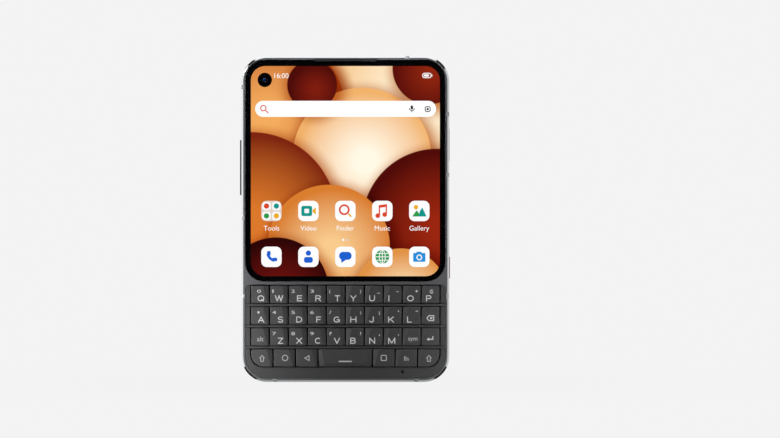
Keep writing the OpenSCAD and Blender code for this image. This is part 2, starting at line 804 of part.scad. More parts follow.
module key(row, i) {
    w = cell_right(row, i) - cell_left(row, i) - key_gap;
    x = (cell_left(row, i) + cell_right(row, i)) / 2;
    last = len(key_rows[row]) - 1;
    round_side = row > 0 ? 0 : i == 0 ? -1 : i == last ? 1 : 0;
    color("#434445") upright() translate([x, row_y(row), key_low_z]) {
        difference() {
            linear_extrude(key_tall) key_outline(w, round_side);
            if (key_rows[row][i] == "space") space_facets(w);
            else mirror([x > 0 ? 1 : 0, 0, 0]) key_ridge(w);
        }
        block(0, 0, w - 2 * tab_inset, key_h + 2 * tab_reach, 0, tab_t);
    }
}

mid_frame();
antenna_inserts();
rear_cover();
camera_glass();
rear_cameras();
flash_led();
front_glass();
display_panel();
front_camera();
earpiece();
keyboard_bezel();
key_frets();
keyboard_board();
main_board();
battery();
usb_socket();
loudspeaker();
sim_tray();
volume_rocker();
power_button();
shortcut_button();
side_switches();
screws();
for (row = [0 : len(key_rows) - 1]) for (i = [0 : len(key_rows[row]) - 1]) {
    key(row, i);
}
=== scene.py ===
import json
import math

import bmesh
import bpy
from bpy.props import FloatProperty, FloatVectorProperty, PointerProperty
from mathutils import Matrix, Vector
from mathutils.bvhtree import BVHTree

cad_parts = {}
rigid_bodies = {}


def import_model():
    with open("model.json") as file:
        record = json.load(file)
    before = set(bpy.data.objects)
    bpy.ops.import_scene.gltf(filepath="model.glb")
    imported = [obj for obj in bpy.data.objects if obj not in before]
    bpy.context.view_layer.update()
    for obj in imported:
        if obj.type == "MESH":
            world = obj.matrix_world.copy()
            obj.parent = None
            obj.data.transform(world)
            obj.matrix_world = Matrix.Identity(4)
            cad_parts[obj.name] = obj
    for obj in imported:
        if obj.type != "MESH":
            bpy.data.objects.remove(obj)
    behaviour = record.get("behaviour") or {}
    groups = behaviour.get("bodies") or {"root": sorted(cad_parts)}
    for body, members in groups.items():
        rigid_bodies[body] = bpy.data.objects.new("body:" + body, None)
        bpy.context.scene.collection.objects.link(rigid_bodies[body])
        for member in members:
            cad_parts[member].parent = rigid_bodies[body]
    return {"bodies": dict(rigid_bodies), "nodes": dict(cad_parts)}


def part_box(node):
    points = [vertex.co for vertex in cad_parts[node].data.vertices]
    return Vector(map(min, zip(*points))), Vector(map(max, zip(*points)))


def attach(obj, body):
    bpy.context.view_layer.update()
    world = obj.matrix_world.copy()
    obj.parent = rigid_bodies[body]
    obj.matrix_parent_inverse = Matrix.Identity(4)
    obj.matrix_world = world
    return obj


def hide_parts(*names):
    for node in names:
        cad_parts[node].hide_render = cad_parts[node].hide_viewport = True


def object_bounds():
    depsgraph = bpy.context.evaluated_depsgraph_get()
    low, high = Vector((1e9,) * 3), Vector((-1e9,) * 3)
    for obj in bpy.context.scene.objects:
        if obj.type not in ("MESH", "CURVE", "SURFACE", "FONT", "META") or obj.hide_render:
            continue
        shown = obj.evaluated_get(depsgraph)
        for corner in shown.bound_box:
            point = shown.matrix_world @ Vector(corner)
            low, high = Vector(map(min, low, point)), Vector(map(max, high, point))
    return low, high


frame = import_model()
CAD_BOX = [list(corner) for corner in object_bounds()]

bl_info = {
    "name": "Qwerty phone",
    "version": (1, 0, 0),
    "blender": (4, 5, 0),
    "location": "3D View > Sidebar > Phone",
    "description": "Dresses the packed phone with its finishes, key legends, lit screen and studio",
    "category": "Object",
}

MM = 0.001
BODY = "phone"
# Turns a shape drawn in X and Y to face the front, -Y, with its Y upwards
FACE_FRONT = Matrix.Rotation(math.radians(90), 4, "X")
# Turns a shape drawn in X and Y to face the back, +Y
FACE_BACK = Matrix.Rotation(math.radians(-90), 4, "X")
FRONT = Vector((0, -1, 0))
BACK = Vector((0, 1, 0))
HAIR = 0.01 * MM  # levels nearer to each other than this are the same level
MERGE = 0.0005 * MM  # corners nearer to each other than this are one corner
FLAT_ANGLE = math.radians(0.4)  # faces that meet at less than this are one flat face
FACING = 0.9  # a face looks to the front or the back with at least this part of its normal
SQUARE = 60  # edges that turn by more than this many degrees are square ones
CUT_REACH = 3 * MM  # the cut edge lies within this of the frame's outline
CROWN = 0.45 * MM  # the crown of a key is what lies within this of its foremost level
AHEAD = -20 * MM  # a level well in front of every piece
TAB_REACH = 0.6 * MM  # tabs that hold a key reach this far past its top and low edges

# Legends by key row, top row first: the key's letter and the small sign above it
LEGENDS = [
    [("q", "0"), ("w", "1"), ("e", "2"), ("r", "3"), ("t", "("),
     ("y", ")"), ("u", "_"), ("i", "-"), ("o", "+"), ("p", "@")],
    [("a", "*"), ("s", "4"), ("d", "5"), ("f", "6"), ("g", "/"),
     ("h", ":"), ("j", ";"), ("k", "'"), ("l", '"')],
    [("z", "7"), ("x", "8"), ("c", "9"), ("v", "?"), ("b", "!"), ("n", ","), ("m", ".")],
]
FIRST_COLUMN = "qa"
LAST_COLUMN = "p"
LEFT_HALF = "qwertasdfgzxcv"

# Plain grotesque capitals. Each has its width in mm, then its strokes in a unit box: a bar from point to
# point (x, z, x, z) or a bow about a point (x, z, half width, half height, first and last angle)
LETTERS = {
    "a": (2.2, [(0, 0, 0.5, 1), (0.5, 1, 1, 0), (0.2, 0.3, 0.8, 0.3)]),
    "b": (1.95, [(0, 0, 0, 1), (0, 1, 0.6, 1), (0, 0.53, 0.6, 0.53), (0, 0, 0.6, 0),
                 (0.6, 0.765, 0.34, 0.235, -90, 90), (0.6, 0.265, 0.4, 0.265, -90, 90)]),
    "c": (2.2, [(0.5, 0.5, 0.5, 0.5, 42, 318)]),
    "d": (2.08, [(0, 0, 0, 1), (0, 1, 0.4, 1), (0, 0, 0.4, 0), (0.4, 0.5, 0.6, 0.5, -90, 90)]),
    "e": (1.82, [(0, 0, 0, 1), (0, 1, 1, 1), (0, 0.52, 0.9, 0.52), (0, 0, 1, 0)]),
    "f": (1.7, [(0, 0, 0, 1), (0, 1, 1, 1), (0, 0.5, 0.85, 0.5)]),
    "g": (2.28, [(0.5, 0.5, 0.5, 0.5, 42, 330), (0.98, 0.12, 0.98, 0.44), (0.58, 0.44, 0.98, 0.44)]),
    "h": (2.2, [(0, 0, 0, 1), (1, 0, 1, 1), (0, 0.53, 1, 0.53)]),
    "i": (0.5, [(0.5, 0, 0.5, 1)]),
    "j": (1.6, [(1, 0.3, 1, 1), (0.5, 0.3, 0.5, 0.3, 180, 360)]),
    "k": (2.1, [(0, 0, 0, 1), (0, 0.33, 0.95, 1), (0.35, 0.56, 1, 0)]),
    "l": (1.6, [(0, 0, 0, 1), (0, 0, 1, 0)]),
    "m": (2.53, [(0, 0, 0, 1), (1, 0, 1, 1), (0, 1, 0.5, 0.05), (0.5, 0.05, 1, 1)]),
    "n": (2.08, [(0, 0, 0, 1), (1, 0, 1, 1), (0, 1, 1, 0)]),
    "o": (2.38, [(0.5, 0.5, 0.5, 0.5, 0, 360)]),
    "p": (1.9, [(0, 0, 0, 1), (0, 1, 0.6, 1), (0, 0.45, 0.6, 0.45), (0.6, 0.725, 0.4, 0.275, -90, 90)]),
    "q": (2.4, [(0.5, 0.5, 0.5, 0.5, 0, 360), (0.62, 0.28, 0.95, 0)]),
    "r": (2.03, [(0, 0, 0, 1), (0, 1, 0.6, 1), (0, 0.48, 0.6, 0.48), (0.6, 0.74, 0.38, 0.26, -90, 90),
                 (0.55, 0.45, 1, 0)]),
    "s": (1.95, [(0.5, 0.75, 0.46, 0.25, 15, 270), (0.5, 0.25, 0.5, 0.25, -165, 90)]),
    "t": (1.82, [(0.5, 0, 0.5, 1), (0, 1, 1, 1)]),
    "u": (2.03, [(0, 0.36, 0, 1), (1, 0.36, 1, 1), (0.5, 0.36, 0.5, 0.36, 180, 360)]),
    "v": (2.15, [(0, 1, 0.5, 0), (0.5, 0, 1, 1)]),
    "w": (2.95, [(0, 1, 0.25, 0), (0.25, 0, 0.5, 1), (0.5, 1, 0.75, 0), (0.75, 0, 1, 1)]),
    "x": (2.1, [(0, 0, 1, 1), (0, 1, 1, 0)]),
    "y": (2.15, [(0.5, 0, 0.5, 0.45), (0, 1, 0.5, 0.45), (0.5, 0.45, 1, 1)]),
    "z": (1.87, [(0, 1, 1, 1), (0, 0, 1, 0), (0, 0, 1, 1)]),
}
# Small signs drawn with strokes too, in a box as high as they are wide
SIGNS = {
    "+": (0.92, [(0.5, 0, 0.5, 1), (0, 0.5, 1, 0.5)]),
    "*": (0.95, [(0.5, 0, 0.5, 1), (0.07, 0.25, 0.93, 0.75), (0.07, 0.75, 0.93, 0.25)]),
}
# Widths in mm of the other small signs; digits not listed are as wide as SIGN_W
SIGN_W = 1.3
SIGN_WIDTHS = {"1": 0.42, "(": 0.5, ")": 0.5, "_": 1.1, "-": 1.0, "@": 1.25, "/": 0.75,
               ":": 0.35, ";": 0.4, "'": 0.35, '"': 0.75, "?": 0.95, "!": 0.35, ",": 0.4, ".": 0.35}
# What is added in mm round the strokes of the finest of them
SIGN_BOLD = {":": 0.06, ";": 0.07, ",": 0.06, ".": 0.09, "'": 0.02, "_": 0.04}
# Words on keys: left end from the key's left edge, base from its low edge, height of a capital, in mm
WORDS = {"alt": (2.05, 1.5, 1.65), "sym": (1.95, 1.75, 1.5), "fn": (2.9, 2.1, 1.65)}
WORD_BOLD = 0.01 * MM
# Signs that are a line round an outline: middle from the key's left edge and down from its top edge,
# width of the line, then the corners from that middle, in mm
OUTLINES = {
    "shift": (3.85, 3.2, 0.24, [
        (-0.6, -1.2), (0.6, -1.2), (0.6, 0), (1.08, 0), (0, 1.2), (-1.08, 0), (-0.6, 0),
    ]),
    "back": (3.8, 3.1, 0.28, [(-1.05, 0), (0.95, -1.1), (0.95, 1.1)]),
    "backspace": (3.1, 4.0, 0.28, [(-1.45, 0), (-0.55, -1.05), (1.35, -1.05), (1.35, 1.05), (-0.55, 1.05)]),
}
# Bent arrow of the enter key: its middle in the same way, then the corners of its head, shaft and end
ENTER = (3.0, 3.95, [
    [(-1.2, -0.02), (-0.4, -0.62), (-0.4, 0.58)],
    [(-0.4, -0.18), (1.15, -0.18), (1.15, 0.14), (-0.4, 0.14)],
    [(0.83, 0.14), (1.15, 0.14), (1.15, 1.05), (0.83, 1.05)],
])

# Levels on the screen in mm, down from the top edge of the glass
BATTERY_DOWN = 5.55
CLOCK_DOWN = 6.5
BAR_DOWN = 17.6
ROWS_DOWN = (54.45, 71.0)
WORDS_DOWN = 61.5
DOTS_DOWN = 64.9


def linear(code):
    """Linear RGBA of an sRGB hex colour such as #3a4b5c."""
    parts = [int(code[i:i + 2], 16) / 255 for i in (1, 3, 5)]
    return (*[p / 12.92 if p <= 0.04045 else ((p + 0.055) / 1.055) ** 2.4 for p in parts], 1.0)


def length(name, description, millimetres):
    """Property for a length whose default is given in millimetres."""
    return FloatProperty(
        name=name, description=description, default=millimetres * MM, min=0.0, unit="LENGTH", precision=5,
    )


def colour(name, description, code):
    """Property for a colour whose default is an sRGB hex code."""
    return FloatVectorProperty(
        name=name, description=description, default=linear(code), size=4, min=0.0, max=1.0, subtype="COLOR",
    )


class PhoneSizes(bpy.types.PropertyGroup):
    """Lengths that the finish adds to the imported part."""

    key_round: length("Key edge", "Radius along the edges of a key", 0.2)
    crest_round: length("Key crest", "Rounding along the crest between a key's face and its facet", 0.06)
    panel_round: length("Panel edge", "Radius along the inner edges of the keyboard panel", 0.1)
    panel_rim: length("Panel rim", "Radius along the outer edge of the keyboard panel", 0.14)
    lip_round: length("Lip edge", "Radius along the frame's inner edges round the glass and the panel", 0.16)
    break_in: length("Break depth", "How far the breaks reach into the frame's front face", 1.25)
    fret_round: length("Fret edge", "Radius along the edges of a fret", 0.14)
    side_key_round: length("Side key edge", "Radius along the outer edges of a side key", 0.3)
    tray_round: length("Tray edge", "Radius along the outer edges of the card tray", 0.12)
    glass_round: length("Glass edge", "Radius along the front edge of the cover glass", 0.22)
    cover_round: length("Cover edge", "Radius along the edges of the rear cover and its trim", 0.08)
    trim_reach: length("Trim reach", "The cover's back edges lie within this of its hindmost level", 0.65)
    flash_rest: length("Flash rest", "Radius of each dark rest printed round the flash", 0.5)
    flash_reach: length("Flash reach", "Rests from the middle of the flash, across and up", 2.35)
    layer: length("Layer", "Thickness of each lit or printed layer under the glass", 0.02)
    border_gap: length("Border gap", "Clear edge of the glass outside its black border", 0.1)
    screen_side: length("Screen side", "Black border at each side of the lit screen", 1.95)
    screen_low: length("Screen bottom", "Black border under the lit screen", 1.9)
    screen_top: length("Screen top", "Black border above the lit screen", 2.15)
    screen_corner: length("Screen corner", "Corner radius of the lit screen", 5.2)
    camera_spot: length("Camera spot", "Radius of the black spot round the front camera", 2.6)
    camera_hole: length("Camera hole", "Radius of the clear hole in that spot", 1.15)
    tile: length("Tile", "Width of an icon tile on the screen", 7.35)
    tile_corner: length("Tile corner", "Corner radius of an icon tile", 2.0)
    tile_pitch: length("Tile pitch", "Distance between neighbouring tiles", 13.34)
    letter: length("Letter height", "Height of the letters on the keys", 2.15)
    letter_t: length("Letter weight", "Width of the strokes of the letters on the keys", 0.3)
    sign: length("Sign height", "Height of the small signs on the keys", 1.12)
    sign_t: length("Sign weight", "Width of the strokes of the small signs that are drawn", 0.22)
    letter_up: length("Letter base", "Base of a letter above the low edge of its key", 0.62)
    letter_right: length("Letter, left half", "Letter from the right edge of a key in the left half", 1.7)
    letter_left: length("Letter, right half", "Letter from the left edge of a key in the right half", 1.55)
    sign_down: length("Sign base", "Base of a small sign below the top edge of its key", 2.5)
    sign_left: length("Sign, left half", "Small sign from the left edge of a key in the left half", 0.75)
    sign_first: length("Sign, first column", "The same on the first key of a row", 2.1)
    sign_right: length("Sign, right half", "Small sign from the right edge of a key in the right half", 0.9)
    sign_last: length("Sign, last column", "The same on the last key of a row", 2.2)
    print_t: length("Print", "Thickness of the printed legends", 0.012)


class PhoneColours(bpy.types.PropertyGroup):
    """Colours of the finishes."""

    # The band's tone is a little darker than the face's, though the real frame has one finish: painted shade
    # on the band
    frame: colour("Frame", "Dark anodised aluminium of the band", "#6c6e70")
    face: colour("Frame face", "Dyed aluminium round the glass and the keyboard", "#727376")
    chamfer: colour("Chamfer", "Cut and polished aluminium", "#e2e4e6")
    insert: colour("Insert", "Plastic of the breaks in the band", "#55575a")
    # The paler tone of the breaks' front faces is painted light on one plastic
    insert_painted_light: colour("Cut insert", "The same plastic where the cut of the edge laid it bare", "#7e8082")
    cover: colour("Cover", "Satin paint of the rear cover", "#4b4a49")
    # The trim's paler tone is a painted highlight along the rim round the camera window
    trim: colour("Trim", "Paler paint of the rim round the camera window", "#8b8c8e")
    panel: colour("Panel", "Plastic of the keyboard panel", "#3a3a3a")
    key: colour("Key", "Plastic of the keys", "#3c3c3c")
    fret: colour("Fret", "Anodised frets", "#5c5d5d")
    legend: colour("Legend", "Pale letters on the keys", "#7b7c7c")
    word: colour("Word", "Greyer words and signs on the keys without a letter", "#686969")
    ink: colour("Ink", "Black print behind the glass", "#050506")
    side_key: colour("Side key", "Dark anodised side keys", "#3c3e41")
    shortcut: colour("Shortcut", "Red anodised shortcut key", "#b3211f")


class PhoneStage(bpy.types.PropertyGroup):
    """Camera, floor and light."""

    camera_away: length("Camera distance", "From the front of the phone to the camera", 1600)
    view_w: length("View width", "Width of the picture at the front of the phone", 281.3)
    aside: length("Aside", "Camera to the right of the middle of the phone", 16.11)
    floor_r: length("Floor", "Radius of the floor", 400)
    backdrop: colour("Backdrop", "Pale studio colour behind the phone", "#f3f3f3")


def add(tree, kind, inputs=None, **settings):
    """Adds a node. Inputs are values, or other nodes' outputs to link, by socket name or number."""
    node = tree.nodes.new(kind)
    for name, value in settings.items():
        setattr(node, name, value)
    for name, value in (inputs or {}).items():
        if isinstance(value, bpy.types.NodeSocket):
            tree.links.new(value, node.inputs[name])
        else:
            node.inputs[name].default_value = value
    return node


FINISHES = {}  # materials made here, by name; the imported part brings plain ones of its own


def made_once(finish):
    """Makes a finish only the first time that its name is asked for."""
    def once(name, *values, **settings):
        if name not in FINISHES:
            FINISHES[name] = finish(name, *values, **settings)
        return FINISHES[name]
    return once


def new_material(name):
    """Empty material and its tree."""
    material = bpy.data.materials.new(name)
    material.use_nodes = True
    material.node_tree.nodes.clear()
    return material, material.node_tree


def finished(material, shader):
    """Ends a material with its last shader node."""
    add(material.node_tree, "ShaderNodeOutputMaterial", {0: shader.outputs[0]})
    return material


@made_once
def grained(name, tone, metallic, roughness, grain, depth, uneven=0.12, mottle=0.1, stretch=(1, 1, 1),
            gloss=0.5, glow=0.0):
    """Material with a fine grain. The grain is its width in metres and depth its height; it gives
    bump, uneven roughness and a slight change of tone. Stretch draws the grain out along an axis, gloss
    is the strength of a coat's reflection, which metals do without, and glow that of its own light."""
    material, tree = new_material(name)
    place = add(tree, "ShaderNodeTexCoord")
    stretched = add(tree, "ShaderNodeMapping", {"Vector": place.outputs["Object"], "Scale": stretch})
    noise = add(tree, "ShaderNodeTexNoise", {
        "Vector": stretched.outputs[0], "Scale": 1 / grain, "Detail": 4.0, "Roughness": 0.6,
    })
    dark = [c * (1 - mottle) for c in tone[:3]] + [1.0]
    light = [min(1.0, c * (1 + mottle)) for c in tone[:3]] + [1.0]
    tones = add(tree, "ShaderNodeMix", {0: noise.outputs[0], 6: dark, 7: light}, data_type="RGBA")
    rough = add(tree, "ShaderNodeMapRange", {
        "Value": noise.outputs[0], "From Min": 0.3, "From Max": 0.7,
        "To Min": roughness * (1 - uneven), "To Max": min(1.0, roughness * (1 + uneven)),
    })
    bump = add(tree, "ShaderNodeBump", {"Height": noise.outputs[0], "Distance": depth, "Strength": 1.0})
    shader = add(tree, "ShaderNodeBsdfPrincipled", {
        "Base Color": tones.outputs[2], "Metallic": metallic,
        "Roughness": rough.outputs[0], "Specular IOR Level": gloss, "Normal": bump.outputs[0],
        "Emission Color": tone, "Emission Strength": glow,
    })
    return finished(material, shader)


def anodised(name, tone):
    """Aluminium, bead-blasted and anodised: an even dark satin metal. The real pits are about 0.05 mm,
    too fine to show, so they are drawn at 0.3 mm."""
    return grained(name, tone, 1.0, 0.42, 0.3 * MM, 0.002 * MM)


def dyed_aluminium(name, tone):
    """Aluminium with a thick dyed oxide: satin metal that scatters part of the light as a paint does.
    Its pits are drawn at 0.3 mm too."""
    return grained(name, tone, 0.6, 0.42, 0.3 * MM, 0.002 * MM)


def cut_aluminium(name, tone):
    """Aluminium cut with a turning diamond: a narrow bright edge with faint lines along the cut."""
    return grained(name, tone, 1.0, 0.13, 0.25 * MM, 0.0001 * MM, uneven=0.03, mottle=0.03)


def moulded(name, tone, roughness=0.46):
    """Moulded ABS with a spark-eroded texture: dull and even. The real grit is about 0.05 mm, too
    fine to show, so it is drawn at 0.35 mm."""
    return grained(name, tone, 0.0, roughness, 0.35 * MM, 0.006 * MM)


def satin_paint(name, tone):
    """Satin paint with fine metal flakes over plastic: dark, with a soft sheen. The flakes are drawn
    at 0.25 mm, coarser than the real ones, so that they show."""
    return grained(name, tone, 0.55, 0.4, 0.25 * MM, 0.002 * MM, mottle=0.14)


def screen_print(name, tone):
    """Screen-printed ink: opaque, quite matt and slightly uneven where the mesh laid it down."""
    return grained(name, tone, 0.0, 0.62, 0.2 * MM, 0.001 * MM, mottle=0.05, gloss=0.0)


def lit_legend(name, tone):
    """Lacquer cut away by laser down to clear plastic that is lit from under the key: an even pale grey
    that follows the light of the room only a little."""
    return grained(name, tone, 0.0, 0.62, 0.2 * MM, 0.001 * MM, mottle=0.05, gloss=0.0, glow=1.75)


def plated_steel(name, tone):
    """Rolled steel with bright plating: smooth, with faint lines along the sheet."""
    return grained(name, tone, 1.0, 0.26, 0.4 * MM, 0.001 * MM, stretch=(1, 1, 0.08))


def solder_mask(name, dark, light, line):
    """Circuit board under lacquer: a gloss coat with the copper lines standing under it."""
    material, tree = new_material(name)
    place = add(tree, "ShaderNodeTexCoord")
    lines = add(tree, "ShaderNodeTexBrick", {
        "Vector": add(tree, "ShaderNodeMapping", {
            "Vector": place.outputs["Object"], "Rotation": (math.radians(90), 0, 0),
        }).outputs[0],
        "Color1": linear(dark), "Color2": linear(light), "Mortar": linear(line),
        "Scale": 1.0, "Mortar Size": 0.08 * MM, "Brick Width": 3.2 * MM, "Row Height": 0.9 * MM,
    })
    bump = add(tree, "ShaderNodeBump", {"Height": lines.outputs["Fac"], "Distance": 0.02 * MM})
    shader = add(tree, "ShaderNodeBsdfPrincipled", {
        "Base Color": lines.outputs["Color"], "Roughness": 0.32, "Normal": bump.outputs[0],
    })
    return finished(material, shader)


@made_once
def clear_glass(name):
    """Polished cover glass: clear, mirrors about 4% head on and more at a slant, half of it on each
    of its two faces."""
    material, tree = new_material(name)
    through = add(tree, "ShaderNodeBsdfTransparent", {"Color": (1, 1, 1, 1)})
    mirror = add(tree, "ShaderNodeBsdfGlossy", {"Color": (1, 1, 1, 1), "Roughness": 0.03})
    slant = add(tree, "ShaderNodeLayerWeight", {"Blend": 0.5}).outputs["Facing"]
    steep = add(tree, "ShaderNodeMath", {0: slant, 1: 5.0}, operation="POWER").outputs[0]
    share = add(tree, "ShaderNodeMapRange", {"Value": steep, "To Min": 0.02, "To Max": 0.6}).outputs[0]
    mixed = add(tree, "ShaderNodeMixShader", {0: share, 1: through.outputs[0], 2: mirror.outputs[0]})
    return finished(material, mixed)


@made_once
def lens_coating(name, near, far):
    """Coated lens: nearly black, with a coloured bloom that turns with the slant of the surface."""
    material, tree = new_material(name)
    slant = add(tree, "ShaderNodeLayerWeight", {"Blend": 0.35})
    bloom = add(tree, "ShaderNodeMix", {0: slant.outputs["Facing"], 6: near, 7: far}, data_type="RGBA")
    shader = add(tree, "ShaderNodeBsdfPrincipled", {
        "Base Color": bloom.outputs[2], "Roughness": 0.05, "IOR": 1.7, "Coat Weight": 1.0,
        "Coat Roughness": 0.03,
    })
    return finished(material, shader)


def black_abs():
    """The black ABS of the camera barrels and the loudspeaker."""
    return moulded("moulded_black_abs", linear("#0d0e10"))


def blue_coating():
    """The coating of all the camera lenses, blue head on and paler at a slant."""
    return lens_coating("lens_coating", linear("#0b1a38"), linear("#4a6fb8"))


def woven_mesh(name):
    """Woven steel mesh over the earpiece: dark, with rows of openings. The real wires are about
    0.06 mm apart, too fine to show, so they are drawn 0.3 mm apart."""
    material, tree = new_material(name)
    place = add(tree, "ShaderNodeTexCoord")
    openings = add(tree, "ShaderNodeTexVoronoi", {
        "Vector": place.outputs["Object"], "Scale": 1 / (0.3 * MM), "Randomness": 0.0,
    })
    wire = add(tree, "ShaderNodeMapRange", {
        "Value": openings.outputs["Distance"], "From Min": 0.25, "From Max": 0.45,
    })
    tones = add(tree, "ShaderNodeMix", {
        0: wire.outputs[0], 6: linear("#0b0b0c"), 7: linear("#4a4c4f"),
    }, data_type="RGBA")
    bump = add(tree, "ShaderNodeBump", {"Height": wire.outputs[0], "Distance": 0.04 * MM})
    shader = add(tree, "ShaderNodeBsdfPrincipled", {
        "Base Color": tones.outputs[2], "Metallic": 0.8, "Roughness": 0.45, "Normal": bump.outputs[0],
    })
    return finished(material, shader)


def lamp_phosphor(name, centre):
    """Yellow phosphor behind a moulded lens: cream, in fine rings, with a whiter rim and a painted glow."""
    material, tree = new_material(name)
    place = add(tree, "ShaderNodeTexCoord")
    away = add(tree, "ShaderNodeVectorMath", {
        0: add(tree, "ShaderNodeVectorMath", {0: place.outputs["Object"], 1: (1, 0, 1)},
               operation="MULTIPLY").outputs[0],
        1: (centre.x, 0, centre.z),
    }, operation="DISTANCE")
    rings = add(tree, "ShaderNodeMath", {
        0: add(tree, "ShaderNodeMath", {0: away.outputs["Value"], 1: 2 * math.pi / (0.45 * MM)},
               operation="MULTIPLY").outputs[0],
    }, operation="SINE")
    rim = add(tree, "ShaderNodeMapRange", {
        "Value": away.outputs["Value"], "From Min": 1.3 * MM, "From Max": 1.5 * MM,
    })
    tones = add(tree, "ShaderNodeMix", {
        0: rim.outputs[0], 6: linear("#efe3cc"), 7: linear("#f6f5f1"),
    }, data_type="RGBA")
    bump = add(tree, "ShaderNodeBump", {"Height": rings.outputs[0], "Distance": 0.01 * MM})
    shader = add(tree, "ShaderNodeBsdfPrincipled", {
        "Base Color": tones.outputs[2], "Roughness": 0.3, "Normal": bump.outputs[0],
        # Painted glow: the phosphor gives a faint light of its own, though the flash is off
        "Emission Color": tones.outputs[2], "Emission Strength": 0.25,
    })
    return finished(material, shader)


@made_once
def lit(name, code, strength=1.0):
    """Light of one part of the picture on the screen, with the faint fall of brightness that a
    panel has from its top to its bottom."""
    material, tree = new_material(name)
    low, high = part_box("display_panel")
    place = add(tree, "ShaderNodeSeparateXYZ", {0: add(tree, "ShaderNodeTexCoord").outputs["Object"]})
    fall = add(tree, "ShaderNodeMapRange", {
        "Value": place.outputs["Z"], "From Min": low.z, "From Max": high.z,
        "To Min": 0.98 * strength, "To Max": strength,
    })
    shader = add(tree, "ShaderNodeBsdfPrincipled", {
        "Base Color": (0, 0, 0, 1), "Roughness": 0.5, "Specular IOR Level": 0.0,
        "Emission Color": linear(code), "Emission Strength": fall.outputs[0],
    })
    return finished(material, shader)


# Discs of the wallpaper, back to front: middle across from the screen's middle and up from its low
# edge, radius, all in mm, then the colours of the middle and the rim
DISCS = [
    (24, 66, 34, "#fff2d6", "#f0bd7c"),
    (-30, 60, 30, "#f0a95c", "#b9521a"),
    (6, 44, 25, "#fff6e2", "#eeb069"),
    (-34, 22, 31, "#d9772b", "#7d2410"),
    (33, 20, 27, "#97250f", "#4f0b08"),
    (-6, 12, 22, "#f6c98c", "#d67b2e"),
    (-25, -4, 19, "#6b120e", "#2e0606"),
    (20, -6, 17, "#fbe0b4", "#de9144"),
    (30, 76, 13, "#8a2410", "#5a0f0a"),
    (-12, 70, 9, "#7c1c0f", "#4c0c09"),
]


def wallpaper(name, low, high):
    """Lit picture: discs of warm paper that lie over each other and cast soft shadows."""
    material, tree = new_material(name)
    place = add(tree, "ShaderNodeTexCoord").outputs["Object"]
    flat = add(tree, "ShaderNodeVectorMath", {0: place, 1: (1, 0, 1)}, operation="MULTIPLY").outputs[0]
    height = add(tree, "ShaderNodeSeparateXYZ", {0: place}).outputs["Z"]
    rise = add(tree, "ShaderNodeMapRange", {
        "Value": height, "From Min": low.z, "From Max": high.z,
    }).outputs[0]
    picture = add(tree, "ShaderNodeMix", {
        0: rise, 6: linear("#b4511a"), 7: linear("#f8dcb0"),
    }, data_type="RGBA").outputs[2]
    edge = 0.12 * MM
    shadow = 5.5 * MM
    drop = Vector((1.2, 0, -1.6)) * MM
    for x, up, radius, middle, rim in DISCS:
        centre = Vector(((low.x + high.x) / 2 + x * MM, 0, low.z + up * MM))
        reach = radius * MM
        away = add(tree, "ShaderNodeVectorMath", {0: flat, 1: centre}, operation="DISTANCE").outputs["Value"]
        lifted = add(tree, "ShaderNodeVectorMath", {
            0: flat, 1: centre + drop,
        }, operation="DISTANCE").outputs["Value"]
        shade = add(tree, "ShaderNodeMapRange", {
            "Value": lifted, "From Min": reach - shadow / 3, "From Max": reach + shadow,
        }, interpolation_type="SMOOTHSTEP").outputs[0]
        cast = add(tree, "ShaderNodeMix", {0: shade, 6: linear("#c98e5c"), 7: (1, 1, 1, 1)}, data_type="RGBA")
        picture = add(tree, "ShaderNodeMix", {
            0: 1.0, 6: picture, 7: cast.outputs[2],
        }, data_type="RGBA", blend_type="MULTIPLY").outputs[2]
        across = add(tree, "ShaderNodeMapRange", {
            "Value": lifted, "From Min": 0.15 * reach, "From Max": reach,
        }).outputs[0]
        paper = add(tree, "ShaderNodeMix", {
            0: across, 6: linear(middle), 7: linear(rim),
        }, data_type="RGBA").outputs[2]
        inside = add(tree, "ShaderNodeMapRange", {
            "Value": away, "From Min": reach - edge, "From Max": reach + edge, "To Min": 1.0, "To Max": 0.0,
        }).outputs[0]
        picture = add(tree, "ShaderNodeMix", {0: inside, 6: picture, 7: paper}, data_type="RGBA").outputs[2]
    shader = add(tree, "ShaderNodeBsdfPrincipled", {
        "Base Color": (0, 0, 0, 1), "Roughness": 0.5, "Specular IOR Level": 0.0,
        "Emission Color": picture, "Emission Strength": 1.08,
    })
    return finished(material, shader)


def copy_of(node):
    """Bmesh of a CAD node with its loose triangles merged and its flat faces made whole."""
    bm = bmesh.new()
    bm.from_mesh(frame["nodes"][node].data)
    bmesh.ops.remove_doubles(bm, verts=bm.verts, dist=MERGE)
    bmesh.ops.dissolve_limit(bm, angle_limit=FLAT_ANGLE, verts=bm.verts, edges=bm.edges)
    for face in bm.faces:
        face.normal_update()
    return bm


def round_edges(bm, radius, wanted, segments=3, least=SQUARE):
    """Rounds the edges sharper than an angle in degrees that wanted(middle, edge) picks."""
    sharp = [
        e for e in bm.edges
        if len(e.link_faces) == 2 and e.calc_face_angle() > math.radians(least)
        and wanted((e.verts[0].co + e.verts[1].co) / 2, e)
    ]
    bmesh.ops.bevel(
        bm, geom=sharp, offset=radius, offset_type="OFFSET", affect="EDGES", segments=segments,
        profile=0.5, material=-1, clamp_overlap=True,
    )


